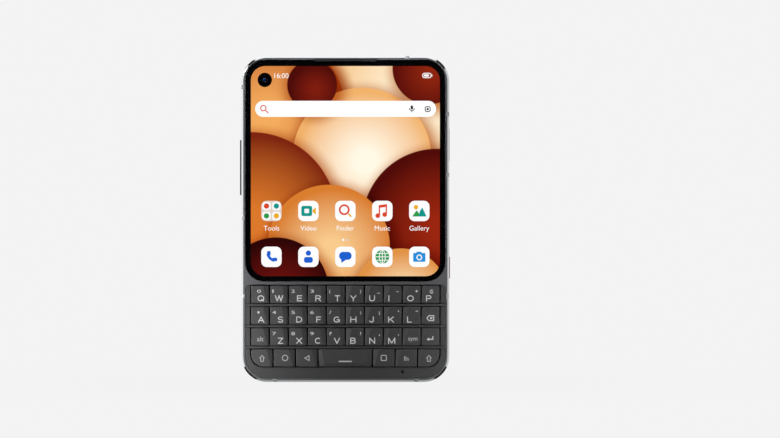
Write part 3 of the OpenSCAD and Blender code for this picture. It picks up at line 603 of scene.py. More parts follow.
def piece(bm, name, materials, body=BODY, stands_for=None, smooth=32):
    """Makes a piece of a bmesh: its mesh, materials, shading and body."""
    mesh = bpy.data.meshes.new(name)
    bm.to_mesh(mesh)
    bm.free()
    mesh.shade_smooth()
    mesh.set_sharp_from_angle(angle=math.radians(smooth))
    for material in materials:
        mesh.materials.append(material)
    made = bpy.data.objects.new(name, mesh)
    bpy.context.scene.collection.objects.link(made)
    made.modifiers.new("Even shading", "WEIGHTED_NORMAL").keep_sharp = True
    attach(made, body)
    if stands_for:
        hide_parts(stands_for)
    return made


def dress(node, material):
    """Gives a CAD node, shown as it is, its material."""
    materials = frame["nodes"][node].data.materials
    materials.clear()
    materials.append(material)


def new_faces(bm, before):
    """Faces made since a set of faces was taken."""
    return [f for f in bm.faces if f not in before]


def paint(faces, material):
    """Gives faces a material by its number, and returns them."""
    for face in faces:
        face.material_index = material
    return faces


def plate(bm, x, z, w, h, corner, level, material=0, steps=6, turn=FACE_FRONT):
    """Flat rectangle with rounded corners, from its middle, facing the front."""
    before = set(bm.faces)
    made = bmesh.ops.create_grid(bm, x_segments=1, y_segments=1, size=0.5, matrix=(
        Matrix.Translation((x, level, z)) @ turn @ Matrix.Diagonal((w, h, 1, 1))
    ))
    if corner:
        bmesh.ops.bevel(
            bm, geom=made["verts"], offset=corner, offset_type="OFFSET", affect="VERTICES",
            segments=steps, profile=0.5, material=-1,
        )
    return paint(new_faces(bm, before), material)


def disc(bm, x, z, radius, level, material=0, steps=40, turn=FACE_FRONT):
    """Flat round face, from its middle, facing the front."""
    before = set(bm.faces)
    bmesh.ops.create_circle(bm, cap_ends=True, segments=steps, radius=radius, matrix=(
        Matrix.Translation((x, level, z)) @ turn
    ))
    return paint(new_faces(bm, before), material)


def shape(bm, points, level, material=0):
    """Flat face through a few points, each across and up, anticlockwise as seen from the front."""
    face = bm.faces.new([bm.verts.new((x, level, z)) for x, z in points])
    face.normal_update()
    return paint([face], material)


def line_round(bm, faces, width):
    """Leaves only a line of the given width along the rim of flat faces."""
    made = bmesh.ops.inset_region(bm, faces=faces, thickness=width, use_even_offset=True, use_boundary=True)
    bmesh.ops.delete(bm, geom=faces, context="FACES")
    return made["faces"]


def thicken(bm, faces, thickness, towards=FRONT):
    """Makes flat faces solid by drawing them out, towards the front where nothing else is said."""
    made = bmesh.ops.extrude_face_region(bm, geom=faces)
    verts = [v for v in made["geom"] if isinstance(v, bmesh.types.BMVert)]
    bmesh.ops.translate(bm, verts=verts, vec=towards * thickness)
    bmesh.ops.recalc_face_normals(bm, faces=bm.faces)


def bar(bm, start, end, width, level):
    """Straight flat stroke between two points, with square ends that stand out by half its width."""
    along = (end - start).normalized() * width / 2
    side = Vector((-along.y, along.x))
    shape(bm, [start - along - side, end + along - side, end + along + side, start - along + side], level)


def bow(bm, middle, half, first, last, width, level, steps=14):
    """Flat stroke along an ellipse, made by turning a short edge; half is its half width and height."""
    before = set(bm.verts)
    turn = Vector((math.cos(math.radians(first)), 0, math.sin(math.radians(first))))
    ends = [bm.verts.new(turn), bm.verts.new(2 * turn)]
    bmesh.ops.spin(bm, geom=[*ends, bm.edges.new(ends)], axis=FRONT, cent=(0, 0, 0),
                   angle=math.radians(last - first), steps=steps)
    for vert in (v for v in bm.verts if v not in before):
        outwards = width / 2 if vert.co.length > 1.5 else -width / 2
        turn = vert.co.normalized()
        vert.co = (middle.x + turn.x * (half.x + outwards), level, middle.y + turn.z * (half.y + outwards))


def drawn(bm, letter, height, weight, x, z, level, align):
    """Draws a letter or sign of the keys with strokes. X is its left or right end and z its base."""
    width, strokes = letter
    box = Vector((width * MM - weight, height - weight))
    corner = Vector((x if align == "LEFT" else x - width * MM, z)) + Vector((weight, weight)) / 2
    for stroke in strokes:
        first = corner + Vector(stroke[:2]) * box
        second = Vector(stroke[2:4]) * box
        if len(stroke) == 4:
            bar(bm, first, corner + second, weight, level)
        else:
            bow(bm, first, second, *stroke[4:], weight, level)


def lettering(bm, text, height, x, z, level, align="LEFT", material=0, width=None, bold=0.0):
    """Adds words as flat faces that face the front. Height is that of a capital, x the left or right
    end or the middle of the words, width, where given, what they are drawn out to, and bold what is
    added all round their strokes."""
    before = set(bm.faces)
    words = bpy.data.curves.new("words", "FONT")
    words.body = "H"
    words.resolution_u = 4
    sample = bpy.data.objects.new("words", words)
    bpy.context.scene.collection.objects.link(sample)
    bpy.context.view_layer.update()
    capital = sample.dimensions.y
    words.body = text
    words.offset = bold * capital / height
    bpy.context.view_layer.update()
    flat = sample.to_mesh()
    flat.transform(FACE_FRONT @ Matrix.Scale(height / capital, 4))
    verts = len(bm.verts)
    bm.from_mesh(flat)
    sample.to_mesh_clear()
    bpy.data.objects.remove(sample)
    bpy.data.curves.remove(words)
    bm.verts.ensure_lookup_table()
    made = bm.verts[verts:]
    left = min(v.co.x for v in made)
    if width:
        reach = max(v.co.x for v in made) - left
        bmesh.ops.scale(bm, verts=made, vec=(width / reach, 1, 1))
        left *= width / reach
    right = max(v.co.x for v in made)
    shift = {"LEFT": x - left, "RIGHT": x - right, "CENTER": x - (left + right) / 2}[align]
    bmesh.ops.translate(bm, verts=made, vec=(shift, level, z))
    return paint(new_faces(bm, before), material)


class PHONE_OT_frame(bpy.types.Operator):
    """Frame with cut edges, and the plastic breaks in its band"""

    bl_idname = "phone.frame"
    bl_label = "Frame"

    def execute(self, context):
        sizes = context.scene.phone_sizes
        colours = context.scene.phone_colours
        bm = copy_of("mid_frame")
        low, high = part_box("mid_frame")
        # Front faces get the paler face finish, and the band a darker copy of it as painted shade
        for face in bm.faces:
            at = face.calc_center_median()
            edge = min(at.x - low.x, high.x - at.x, at.z - low.z, high.z - at.z)
            if face.normal.y < -FACING:
                face.material_index = 2
            elif face.normal.y < -0.5 and edge < CUT_REACH:
                face.material_index = 1

        def inner(at, e):
            """Whether an edge of the front face lies further in than the cut edge and its breaks."""
            middle, half = (low + high) / 2, (high - low) / 2 - Vector((1, 0, 1)) * sizes.break_in
            ahead = all(abs(v.co.y - low.y) < HAIR for v in e.verts)
            return ahead and abs(at.x - middle.x) < half.x and abs(at.z - middle.z) < half.z

        round_edges(bm, sizes.lip_round, inner, 2)
        piece(
            bm, "frame",
            [anodised("anodised_aluminium", colours.frame), cut_aluminium("cut_aluminium", colours.chamfer),
             dyed_aluminium("dyed_aluminium", colours.face)],
            stands_for="mid_frame",
        )
        # Breaks: the cut along the front edge runs through them too; their faces that look to the front are
        # painted paler than their sides, as painted light
        bm = copy_of("antenna_inserts")
        paint([f for f in bm.faces if f.normal.y < -0.5], 1)
        piece(bm, "band_breaks", [moulded("break_plastic", colours.insert, 0.5),
                                  moulded("cut_break_plastic", colours.insert_painted_light, 0.5)],
              stands_for="antenna_inserts")
        return {"FINISHED"}


class PHONE_OT_screen(bpy.types.Operator):
    """Cover glass, black border and lit panel"""

    bl_idname = "phone.screen"
    bl_label = "Screen"

    def execute(self, context):
        sizes = context.scene.phone_sizes
        colours = context.scene.phone_colours
        low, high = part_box("front_glass")
        back = high.y
        # Cover glass: the CAD glass with room behind it for the lit and printed layers
        bm = copy_of("front_glass")
        for vert in bm.verts:
            if vert.co.y > back - sizes.layer:
                vert.co.y = back - 4 * sizes.layer
        round_edges(bm, sizes.glass_round, lambda at, e: at.y < low.y + sizes.layer)
        piece(bm, "cover_glass", [clear_glass("polished_glass")],
              stands_for="front_glass")
        # Black border: the back of the glass, less a hair, with an opening for the lit screen
        bm = copy_of("front_glass")
        level = back - sizes.layer
        bmesh.ops.delete(bm, geom=[f for f in bm.faces if f.normal.y < FACING], context="FACES")
        rim = bmesh.ops.inset_region(
            bm, faces=bm.faces[:], thickness=sizes.border_gap, use_even_offset=True, use_boundary=True,
        )
        bmesh.ops.delete(bm, geom=rim["faces"], context="FACES")
        for vert in bm.verts:
            vert.co.y = level
        plate(
            bm, (low.x + high.x) / 2, (low.z + sizes.screen_low + high.z - sizes.screen_top) / 2,
            high.x - low.x - 2 * sizes.screen_side,
            high.z - low.z - sizes.screen_low - sizes.screen_top, sizes.screen_corner, level, steps=12,
        )
        bmesh.ops.delete(bm, geom=bm.faces[:], context="FACES_ONLY")
        bmesh.ops.triangle_fill(bm, use_beauty=True, edges=bm.edges[:], normal=FRONT)
        for face in bm.faces:
            face.normal_update()
            if face.normal.y > 0:
                face.normal_flip()
        low_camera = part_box("front_camera")[0]
        barrel = frame["nodes"]["front_camera"].data.vertices
        top = [v.co for v in barrel if v.co.y < low_camera.y + sizes.layer]
        camera_x = sum(v.x for v in top) / len(top)
        camera_z = sum(v.z for v in top) / len(top)
        spot = disc(bm, camera_x, camera_z, sizes.camera_spot, level)
        line_round(bm, spot, sizes.camera_spot - sizes.camera_hole)
        thicken(bm, bm.faces[:], sizes.layer)
        piece(bm, "screen_border", [screen_print("black_print", colours.ink)])
        # Lit panel
        bm = copy_of("display_panel")
        paint([f for f in bm.faces if f.normal.y < -FACING], 1)
        low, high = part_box("display_panel")
        piece(bm, "lit_panel", [plated_steel("panel_steel", linear("#6d7073")),
                                wallpaper("lit_wallpaper", low, high)],
              stands_for="display_panel")
        return {"FINISHED"}


class PHONE_OT_picture(bpy.types.Operator):
    """Clock, search bar, icon tiles and their signs on the lit screen"""

    bl_idname = "phone.picture"
    bl_label = "Screen picture"

    def execute(self, context):
        sizes = context.scene.phone_sizes
        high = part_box("front_glass")[1]
        level = high.y
        step = sizes.layer
        white = lit("lit_white", "#ffffff", 1.06)
        # Tiles, search bar and page dots
        bm = bmesh.new()
        columns = [i * sizes.tile_pitch for i in range(-2, 3)]
        rows = [high.z - down * MM for down in ROWS_DOWN]
        for z in rows:
            for x in columns:
                folder = z == rows[0] and x == columns[0]
                plate(bm, x, z, sizes.tile, sizes.tile, sizes.tile_corner, level, int(folder))
        bar_z = high.z - BAR_DOWN * MM
        plate(bm, 0.1 * MM, bar_z, 65.3 * MM, 5.8 * MM, 2.88 * MM, level, steps=12)
        for x, tone in ((-0.75, 0), (0.75, 1)):
            disc(bm, x * MM, high.z - DOTS_DOWN * MM, 0.42 * MM, level, tone, steps=20)
        # Battery sign: case, charge and cap
        x, z = 29.4 * MM, high.z - BATTERY_DOWN * MM
        line_round(bm, plate(bm, x, z, 3.3 * MM, 1.9 * MM, 0.8 * MM, level), 0.28 * MM)
        plate(bm, x - 0.15 * MM, z, 1.9 * MM, 0.85 * MM, 0.35 * MM, level)
        plate(bm, x + 1.85 * MM, z, 0.25 * MM, 0.8 * MM, 0, level)
        # Clock and the words under the tiles
        lettering(bm, "16:00", 1.75 * MM, -25.6 * MM, high.z - CLOCK_DOWN * MM, level)
        for x, word in zip(columns, ("Tools", "Video", "Finder", "Music", "Gallery")):
            lettering(bm, word, 1.7 * MM, x, high.z - WORDS_DOWN * MM, level, "CENTER")
        thicken(bm, bm.faces[:], step)
        piece(bm, "screen_tiles", [white, lit("lit_folder", "#e6d6ca")])
        self.signs(level - step, step, columns, rows, bar_z)
        return {"FINISHED"}

    def signs(self, level, step, columns, rows, bar_z):
        """Coloured signs on the tiles and the bar. Lengths in mm from the middle of a tile."""
        bm = bmesh.new()
        blue, sky, teal, amber, green, coral, black, pale = range(8)

        def at(i, row):
            return columns[i] / MM, rows[row] / MM

        def box(x, z, w, h, corner, material):
            return plate(bm, x * MM, z * MM, w * MM, h * MM, corner * MM, level, material)

        def dot(x, z, r, material):
            return disc(bm, x * MM, z * MM, r * MM, level, material)

        def ring(x, z, r, width, material):
            return line_round(bm, dot(x, z, r, material), width * MM)

        def cut(points, material):
            return shape(bm, [(x * MM, z * MM) for x, z in points], level, material)

        def arc(x, z, half, width, first, last, material):
            before = set(bm.faces)
            bow(bm, Vector((x, z)) * MM, Vector(half) * MM, first, last, width * MM, level)
            paint(new_faces(bm, before), material)

        # Folder: four small tiles
        x, z = at(0, 0)
        for side in (-1, 1):
            for up in (-1, 1):
                box(x + 1.78 * side, z + 1.78 * up, 3.1, 3.1, 0.9, pale)
        # Video: case and horn
        x, z = at(1, 0)
        box(x - 0.6, z, 3.9, 3.7, 0.7, teal)
        cut([(x + 1.5, z - 0.35), (x + 2.7, z - 1.35), (x + 2.7, z + 1.35), (x + 1.5, z + 0.35)], amber)
        # Finder: ring and handle
        x, z = at(2, 0)
        ring(x - 0.4, z + 0.45, 1.95, 0.65, coral)
        cut([(x + 0.85, z - 1.2), (x + 1.95, z - 2.3), (x + 2.4, z - 1.85), (x + 1.3, z - 0.75)], amber)
        # Music: two notes joined by a beam
        x, z = at(3, 0)
        for side in (-1, 1):
            dot(x - 0.4 + 1.25 * side, z - 1.5 + 0.2 * side, 0.85, coral)
            box(x + 0.2 + 1.25 * side, z + 0.2 + 0.2 * side, 0.5, 3.3, 0, coral)
        cut([(x - 1.3, z + 1.1), (x + 1.7, z + 1.5), (x + 1.7, z + 2.5), (x - 1.3, z + 2.1)], coral)
        # Gallery: sun and two hills
        x, z = at(4, 0)
        dot(x - 1.2, z + 1.35, 0.8, amber)
        cut([(x - 2.6, z - 2.0), (x + 0.6, z - 2.0), (x - 0.9, z + 0.3)], green)
        cut([(x - 0.3, z - 2.0), (x + 2.6, z - 2.0), (x + 1.1, z + 1.3), (x + 0.2, z - 0.1)], teal)
        # Handset: a bow with two ends
        x, z = at(0, 1)
        arc(x + 1.7, z + 1.7, (3.1, 3.1), 1.0, 192, 258, blue)
        for px, pz, w, h in ((x - 0.95, z + 1.25, 1.3, 1.7), (x + 1.25, z - 0.95, 1.7, 1.3)):
            box(px, pz, w, h, 0.45, blue)
        # Person: head and shoulders
        x, z = at(1, 1)
        dot(x, z + 1.35, 0.95, blue)
        box(x, z - 1.1, 3.2, 2.1, 0.8, blue)
        # Speech bubble with its tail
        x, z = at(2, 1)
        box(x, z + 0.35, 4.5, 2.9, 1.35, blue)
        cut([(x - 1.5, z - 0.6), (x + 0.3, z - 1.05), (x - 1.5, z - 2.2)], blue)
        # Globe
        x, z = at(3, 1)
        dot(x, z, 2.5, green)
        # Camera: case and hump
        x, z = at(4, 1)
        box(x, z - 0.2, 4.4, 3.2, 0.35, sky)
        box(x - 0.1, z + 1.55, 1.9, 0.6, 0.15, sky)
        # Search bar: finder at the left, microphone and frame at the right
        z = bar_z / MM
        ring(-29.6, z + 0.25, 1.15, 0.36, coral)
        cut([(-28.85, z - 0.75), (-28.0, z - 1.6), (-27.72, z - 1.32), (-28.57, z - 0.47)], coral)
        box(24.0, z + 0.5, 0.85, 1.5, 0.4, black)
        arc(24.0, z + 0.25, (0.9, 0.9), 0.28, 180, 360, black)
        box(24.0, z - 0.95, 0.3, 0.5, 0, black)
        line_round(bm, box(29.7, z - 0.1, 2.1, 2.1, 0.7, black), 0.32 * MM)
        dot(29.7, z - 0.1, 0.42, black)
        thicken(bm, bm.faces[:], step)
        # Details over the signs
        level -= step
        before = set(bm.faces)
        x, z = at(0, 0)
        for i, tone in enumerate((coral, teal, green, amber)):
            dot(x - 1.78 + 3.56 * (i % 2), z + 1.78 - 3.56 * (i // 2), 0.95, tone)
        x, z = at(1, 0)
        box(x - 0.6, z, 1.7, 1.6, 0.3, pale)
        x, z = at(3, 1)
        arc(x, z, (1.1, 2.4), 0.28, 0, 360, pale)
        box(x, z, 0.28, 4.8, 0, pale)
        for up, w in ((-1.2, 4.2), (0, 4.8), (1.2, 4.2)):
            box(x, z + up, w, 0.28, 0, pale)
        x, z = at(4, 1)
        ring(x, z - 0.2, 1.05, 0.4, pale)
        thicken(bm, new_faces(bm, before), step)
        tones = {
            "blue": "#1f63d6", "sky": "#2b93e0", "teal": "#159a8e", "amber": "#f4b223",
            "green": "#2f9e4f", "coral": "#e0472f", "black": "#1d1e20", "pale": "#ffffff",
        }
        piece(bm, "screen_signs", [lit("lit_" + name, tone) for name, tone in tones.items()])


def sink_rings(bm, face, steps):
    """Steps a round face inwards: each step insets it, moves it back and gives it a material."""
    inward = -face.normal
    for inset, depth, material in steps:
        bmesh.ops.inset_region(bm, faces=[face], thickness=inset * MM, use_even_offset=True)
        if depth:
            made = bmesh.ops.extrude_face_region(bm, geom=[face])
            bmesh.ops.delete(bm, geom=[face], context="FACES_ONLY")
            face = next(f for f in made["geom"] if isinstance(f, bmesh.types.BMFace))
            bmesh.ops.translate(bm, verts=face.verts[:], vec=inward * depth * MM)
        face.material_index = material
    return face


class PHONE_OT_front_camera(bpy.types.Operator):
    """Front camera with its stepped barrel, and the earpiece mesh"""

    bl_idname = "phone.front_camera"
    bl_label = "Front camera and earpiece"

    def execute(self, context):
        bm = copy_of("front_camera")
        top = min((f for f in bm.faces if f.normal.y < -FACING), key=lambda f: f.calc_center_median().y)
        sink_rings(bm, top, [
            (0.55, 0.1, 0), (0.35, 0.2, 0), (0.3, 0.15, 1),
            (0.2, -0.14, 1), (0.2, -0.09, 1), (0.15, -0.03, 1),
        ])
        piece(bm, "front_camera_module", [black_abs(), blue_coating()],
              stands_for="front_camera")
        dress("earpiece", woven_mesh("earpiece_mesh"))
        return {"FINISHED"}


class PHONE_OT_keyboard(bpy.types.Operator):
    """Keyboard panel and frets"""

    bl_idname = "phone.keyboard"
    bl_label = "Keyboard panel"

    def execute(self, context):
        sizes = context.scene.phone_sizes
        colours = context.scene.phone_colours
        bm = copy_of("keyboard_bezel")
        low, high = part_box("keyboard_bezel")
        middle = (low + high) / 2

        def rim(at, e):
            """Whether an edge runs along the outer edge of the panel's face."""
            wall = min((f.normal for f in e.link_faces), key=lambda normal: abs(normal.y))
            side = abs(at.x) > high.x - HAIR or at.z < low.z + HAIR or at.z > high.z - HAIR
            bend = min(abs(wall.x), abs(wall.z)) > 0.02
            return at.y < low.y + HAIR and wall.dot(at - middle) > 0 and (side or bend)

        round_edges(bm, sizes.panel_rim, rim)
        round_edges(bm, sizes.panel_round, lambda at, e: at.y < low.y + HAIR, 2)
        piece(bm, "keyboard_panel", [moulded("moulded_panel_abs", colours.panel)],
              stands_for="keyboard_bezel")
        bm = copy_of("key_frets")
        low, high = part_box("key_frets")
        round_edges(bm, sizes.fret_round, lambda at, e: at.y < low.y + HAIR)
        piece(bm, "fret_bars", [dyed_aluminium("fret_aluminium", colours.fret)],
              stands_for="key_frets")
        return {"FINISHED"}


def key_area(node):
    """A key's edges as seen from the front, without its tabs: left, right, low, top."""
    low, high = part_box(node)
    return low.x, high.x, low.z + TAB_REACH, high.z - TAB_REACH


class PHONE_OT_keys(bpy.types.Operator):
    """All the keys, with rounded edges and their legends"""

    bl_idname = "phone.keys"
    bl_label = "Keys"

    def execute(self, context):
        sizes = context.scene.phone_sizes
        colours = context.scene.phone_colours
        plastic = moulded("moulded_key_abs", colours.key, 0.42)
        pale = lit_legend("lit_letter", colours.legend)
        grey = lit_legend("lit_word", colours.word)
        letters = {"key_" + letter: (letter, sign) for row in LEGENDS for letter, sign in row}
        crest = math.radians(30)
        for node in sorted(n for n in frame["nodes"] if n.startswith("key_") and n in frame["bodies"]):
            bm = copy_of(node)
            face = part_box(node)[0].y + CROWN
            # The cap's face goes back by the thickness of its print, which stays within the key
            for vert in bm.verts:
                if vert.co.y < face:
                    vert.co.y += 1.1 * sizes.print_t
            round_edges(bm, sizes.crest_round,
                        lambda at, e: at.y < face and e.calc_face_angle() < crest, 2, 6)
            round_edges(bm, sizes.key_round, lambda at, e: min(v.co.y for v in e.verts) < face, 3, 40)
            surface = BVHTree.FromBMesh(bm)
            piece(bm, node + "_cap", [plastic], node, node, smooth=35)
            bm = bmesh.new()
            if node in letters:
                self.letter(bm, sizes, node, *letters[node])
            else:
                self.sign(bm, sizes, node)
            self.lay(bm, surface, sizes.print_t)
            word = node not in letters and node not in ("key_backspace", "key_enter")
            piece(bm, node + "_legend", [grey if word else pale], node)
        return {"FINISHED"}

    def lay(self, bm, surface, thickness):
        """Lays flat print on a key's face and gives it its thickness."""
        for vert in bm.verts:
            hit = surface.ray_cast(Vector((vert.co.x, AHEAD, vert.co.z)), BACK)[0]
            if hit is None:
                raise RuntimeError("a legend lies beside its key")
            vert.co.y = hit.y + thickness / 3
        thicken(bm, bm.faces[:], 4 * thickness / 3)

    def letter(self, bm, sizes, node, letter, sign):
        """Letter of a key with its small sign, both on the side away from the slanted facet."""
        left, right, low, top = key_area(node)
        if letter in LEFT_HALF:
            letter_x, letter_end = right - sizes.letter_right, "RIGHT"
            sign_x = left + (sizes.sign_first if letter in FIRST_COLUMN else sizes.sign_left)
            align = "LEFT"
        else:
            letter_x, letter_end = left + sizes.letter_left, "LEFT"
            sign_x = right - (sizes.sign_last if letter in LAST_COLUMN else sizes.sign_right)
            align = "RIGHT"
        base = low + sizes.letter_up
        drawn(bm, LETTERS[letter], sizes.letter, sizes.letter_t, letter_x, base, 0, letter_end)
        if sign in SIGNS:
            height = SIGNS[sign][0] * MM
            base = top - sizes.sign_down + (sizes.sign - height) / 2
            drawn(bm, SIGNS[sign], height, sizes.sign_t, sign_x, base, 0, align)
        else:
            lettering(bm, sign, sizes.sign, sign_x, top - sizes.sign_down, 0, align,
                      width=SIGN_WIDTHS.get(sign, SIGN_W) * MM, bold=SIGN_BOLD.get(sign, 0.0) * MM)

    def sign(self, bm, sizes, node):
        """Word or sign of a key that has no letter."""
        left, right, low, top = key_area(node)
        name = node[len("key_"):].removesuffix("_left").removesuffix("_right")
        weight = 0.28 * MM
        if name in WORDS:
            across, up, height = WORDS[name]
            lettering(bm, name, height * MM, left + across * MM, low + up * MM, 0, bold=WORD_BOLD)
        elif name in OUTLINES:
            across, down, width, corners = OUTLINES[name]
            middle = Vector((left + across * MM, top - down * MM))
            line_round(bm, shape(bm, [middle + Vector(c) * MM for c in corners], 0), width * MM)
            if name == "backspace":
                cross = middle + Vector((0.3, 0)) * MM
                for arm in (Vector((0.328, -0.328)) * MM, Vector((0.328, 0.328)) * MM):
                    bar(bm, cross - arm, cross + arm, 0.26 * MM, 0)
        elif name == "enter":
            across, down, parts = ENTER
            middle = Vector((left + across * MM, top - down * MM))
            for corners in parts:
                shape(bm, [middle + Vector(c) * MM for c in corners], 0)
        elif name == "home":
            line_round(bm, disc(bm, left + 4.05 * MM, top - 3.05 * MM, 1.12 * MM, 0), weight)
        elif name == "recents":
            side = 2.15 * MM
            square = plate(bm, left + 3.75 * MM, top - 3.05 * MM, side, side, 0.45 * MM, 0)
            line_round(bm, square, weight)
        elif name == "space":
            plate(bm, (left + right) / 2, low + 1.9 * MM, 4.75 * MM, 0.42 * MM, 0.2 * MM, 0, steps=3)
        else:
            raise RuntimeError(f"no legend for {node}")


class PHONE_OT_sides(bpy.types.Operator):
    """Volume rocker, power key, red shortcut key, card tray and charging socket"""

    bl_idname = "phone.sides"
    bl_label = "Side keys and sockets"

    def execute(self, context):
        sizes = context.scene.phone_sizes
        colours = context.scene.phone_colours
        dark = anodised("side_key_aluminium", colours.side_key)
        keys = {
            "volume_rocker": (dark, "side_key_metal"),
            "power_button": (dark, "side_key_metal"),
            "shortcut_button": (anodised("red_aluminium", colours.shortcut), "red_metal"),
            "sim_tray": (anodised("anodised_aluminium", colours.frame), "frame_aluminium"),
        }
        for node, (material, slot) in keys.items():
            bm = copy_of(node)
            low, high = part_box(node)
            outer = low.x if high.x < 0 else high.x
            radius = sizes.tray_round if node == "sim_tray" else sizes.side_key_round
            round_edges(bm, radius, lambda at, e: all(abs(v.co.x - outer) < HAIR for v in e.verts))
            piece(bm, node + "_cap", [material], node, node)
        dress("usb_socket", plated_steel("socket_steel", linear("#b9bbbe")))
        return {"FINISHED"}


class PHONE_OT_back(bpy.types.Operator):
    """Rear cover, camera window, cameras and flash"""

    bl_idname = "phone.back"
    bl_label = "Back"

    def execute(self, context):
        sizes = context.scene.phone_sizes
        colours = context.scene.phone_colours
        ink = screen_print("black_print", colours.ink)
        glass_low, glass_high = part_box("camera_glass")
        # Cover: the floor under the window is printed black, and the rim round it is painted paler: a painted
        # highlight
        bm = copy_of("rear_cover")
        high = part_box("rear_cover")[1]
        for face in (f for f in bm.faces if f.normal.y > FACING):
            level = face.calc_center_median().y
            if abs(level - glass_low.y) < HAIR:
                face.material_index = 1
            elif level > high.y - HAIR:
                face.material_index = 2
        edges = high.y - sizes.trim_reach
        round_edges(bm, sizes.cover_round, lambda at, e: at.y > edges, 2)
        finishes = [
            satin_paint("satin_paint", colours.cover), ink, satin_paint("trim_paint", colours.trim),
        ]
        piece(bm, "cover", finishes, stands_for="rear_cover")
        # Window: clear of the printed floor behind it by a little more than the dots round the flash
        bm = copy_of("camera_glass")
        for vert in bm.verts:
            if vert.co.y < glass_low.y + HAIR:
                vert.co.y += 1.5 * sizes.layer
        round_edges(bm, 2 * sizes.cover_round, lambda at, e: at.y > glass_high.y - HAIR)
        piece(bm, "camera_window", [clear_glass("polished_glass")],
              stands_for="camera_glass")
        # Two cameras with stepped barrels and domed lenses
        bm = copy_of("rear_cameras")
        backs = [f for f in bm.faces if f.normal.y > FACING]
        for top in [f for f in backs if f.calc_center_median().y > glass_low.y - HAIR]:
            sink_rings(bm, top, [
                (0.35, 0.12, 2), (0.3, 0.0, 0), (0.25, 0.4, 0), (1.0, 0.25, 0), (0.3, 0.0, 2),
                (0.3, 0.3, 0), (0.35, 0.0, 1), (0.45, -0.15, 1), (0.5, -0.1, 1), (0.5, -0.05, 1),
            ])
        ring = anodised("side_key_aluminium", colours.side_key)
        piece(bm, "camera_barrels", [black_abs(), blue_coating(), ring],
              stands_for="rear_cameras")
        bm = copy_of("flash_led")
        top = max((f for f in bm.faces if f.normal.y > FACING), key=lambda f: f.calc_center_median().y)
        centre = top.calc_center_median()
        sink_rings(bm, top, [(0.2, 0.06, 0), (0.45, -0.04, 0), (0.5, -0.02, 0)])
        piece(bm, "flash_lens", [lamp_phosphor("lamp_phosphor", centre)],
              stands_for="flash_led")
        # Four dark rests printed round the flash
        bm = bmesh.new()
        reach = sizes.flash_reach
        for x in (centre.x - reach, centre.x + reach):
            for z in (centre.z - reach, centre.z + reach):
                disc(bm, x, z, sizes.flash_rest, glass_low.y, steps=24, turn=FACE_BACK)
        thicken(bm, bm.faces[:], sizes.layer, BACK)
        piece(bm, "flash_dots", [screen_print("grey_print", linear("#4a4a4b"))])
        return {"FINISHED"}


class PHONE_OT_inside(bpy.types.Operator):
    """Boards, battery, loudspeaker, switches and screws inside the phone"""

    bl_idname = "phone.inside"
    bl_label = "Inside"

    def execute(self, context):
        steel = plated_steel("screw_steel", linear("#a2a4a6"))
        finishes = {
            "keyboard_board": solder_mask("black_solder_mask", "#0f1010", "#131414", "#1a1b1b"),
            "main_board": solder_mask("green_solder_mask", "#1d5a38", "#236643", "#37805a"),
            "battery": grained("battery_wrap", linear("#2b2d33"), 0.0, 0.3, 1.5 * MM, 0.02 * MM),
            "loudspeaker": black_abs(),
            "side_switches": steel,
            "screws": steel,
        }
        for node, material in finishes.items():
            dress(node, material)
        return {"FINISHED"}


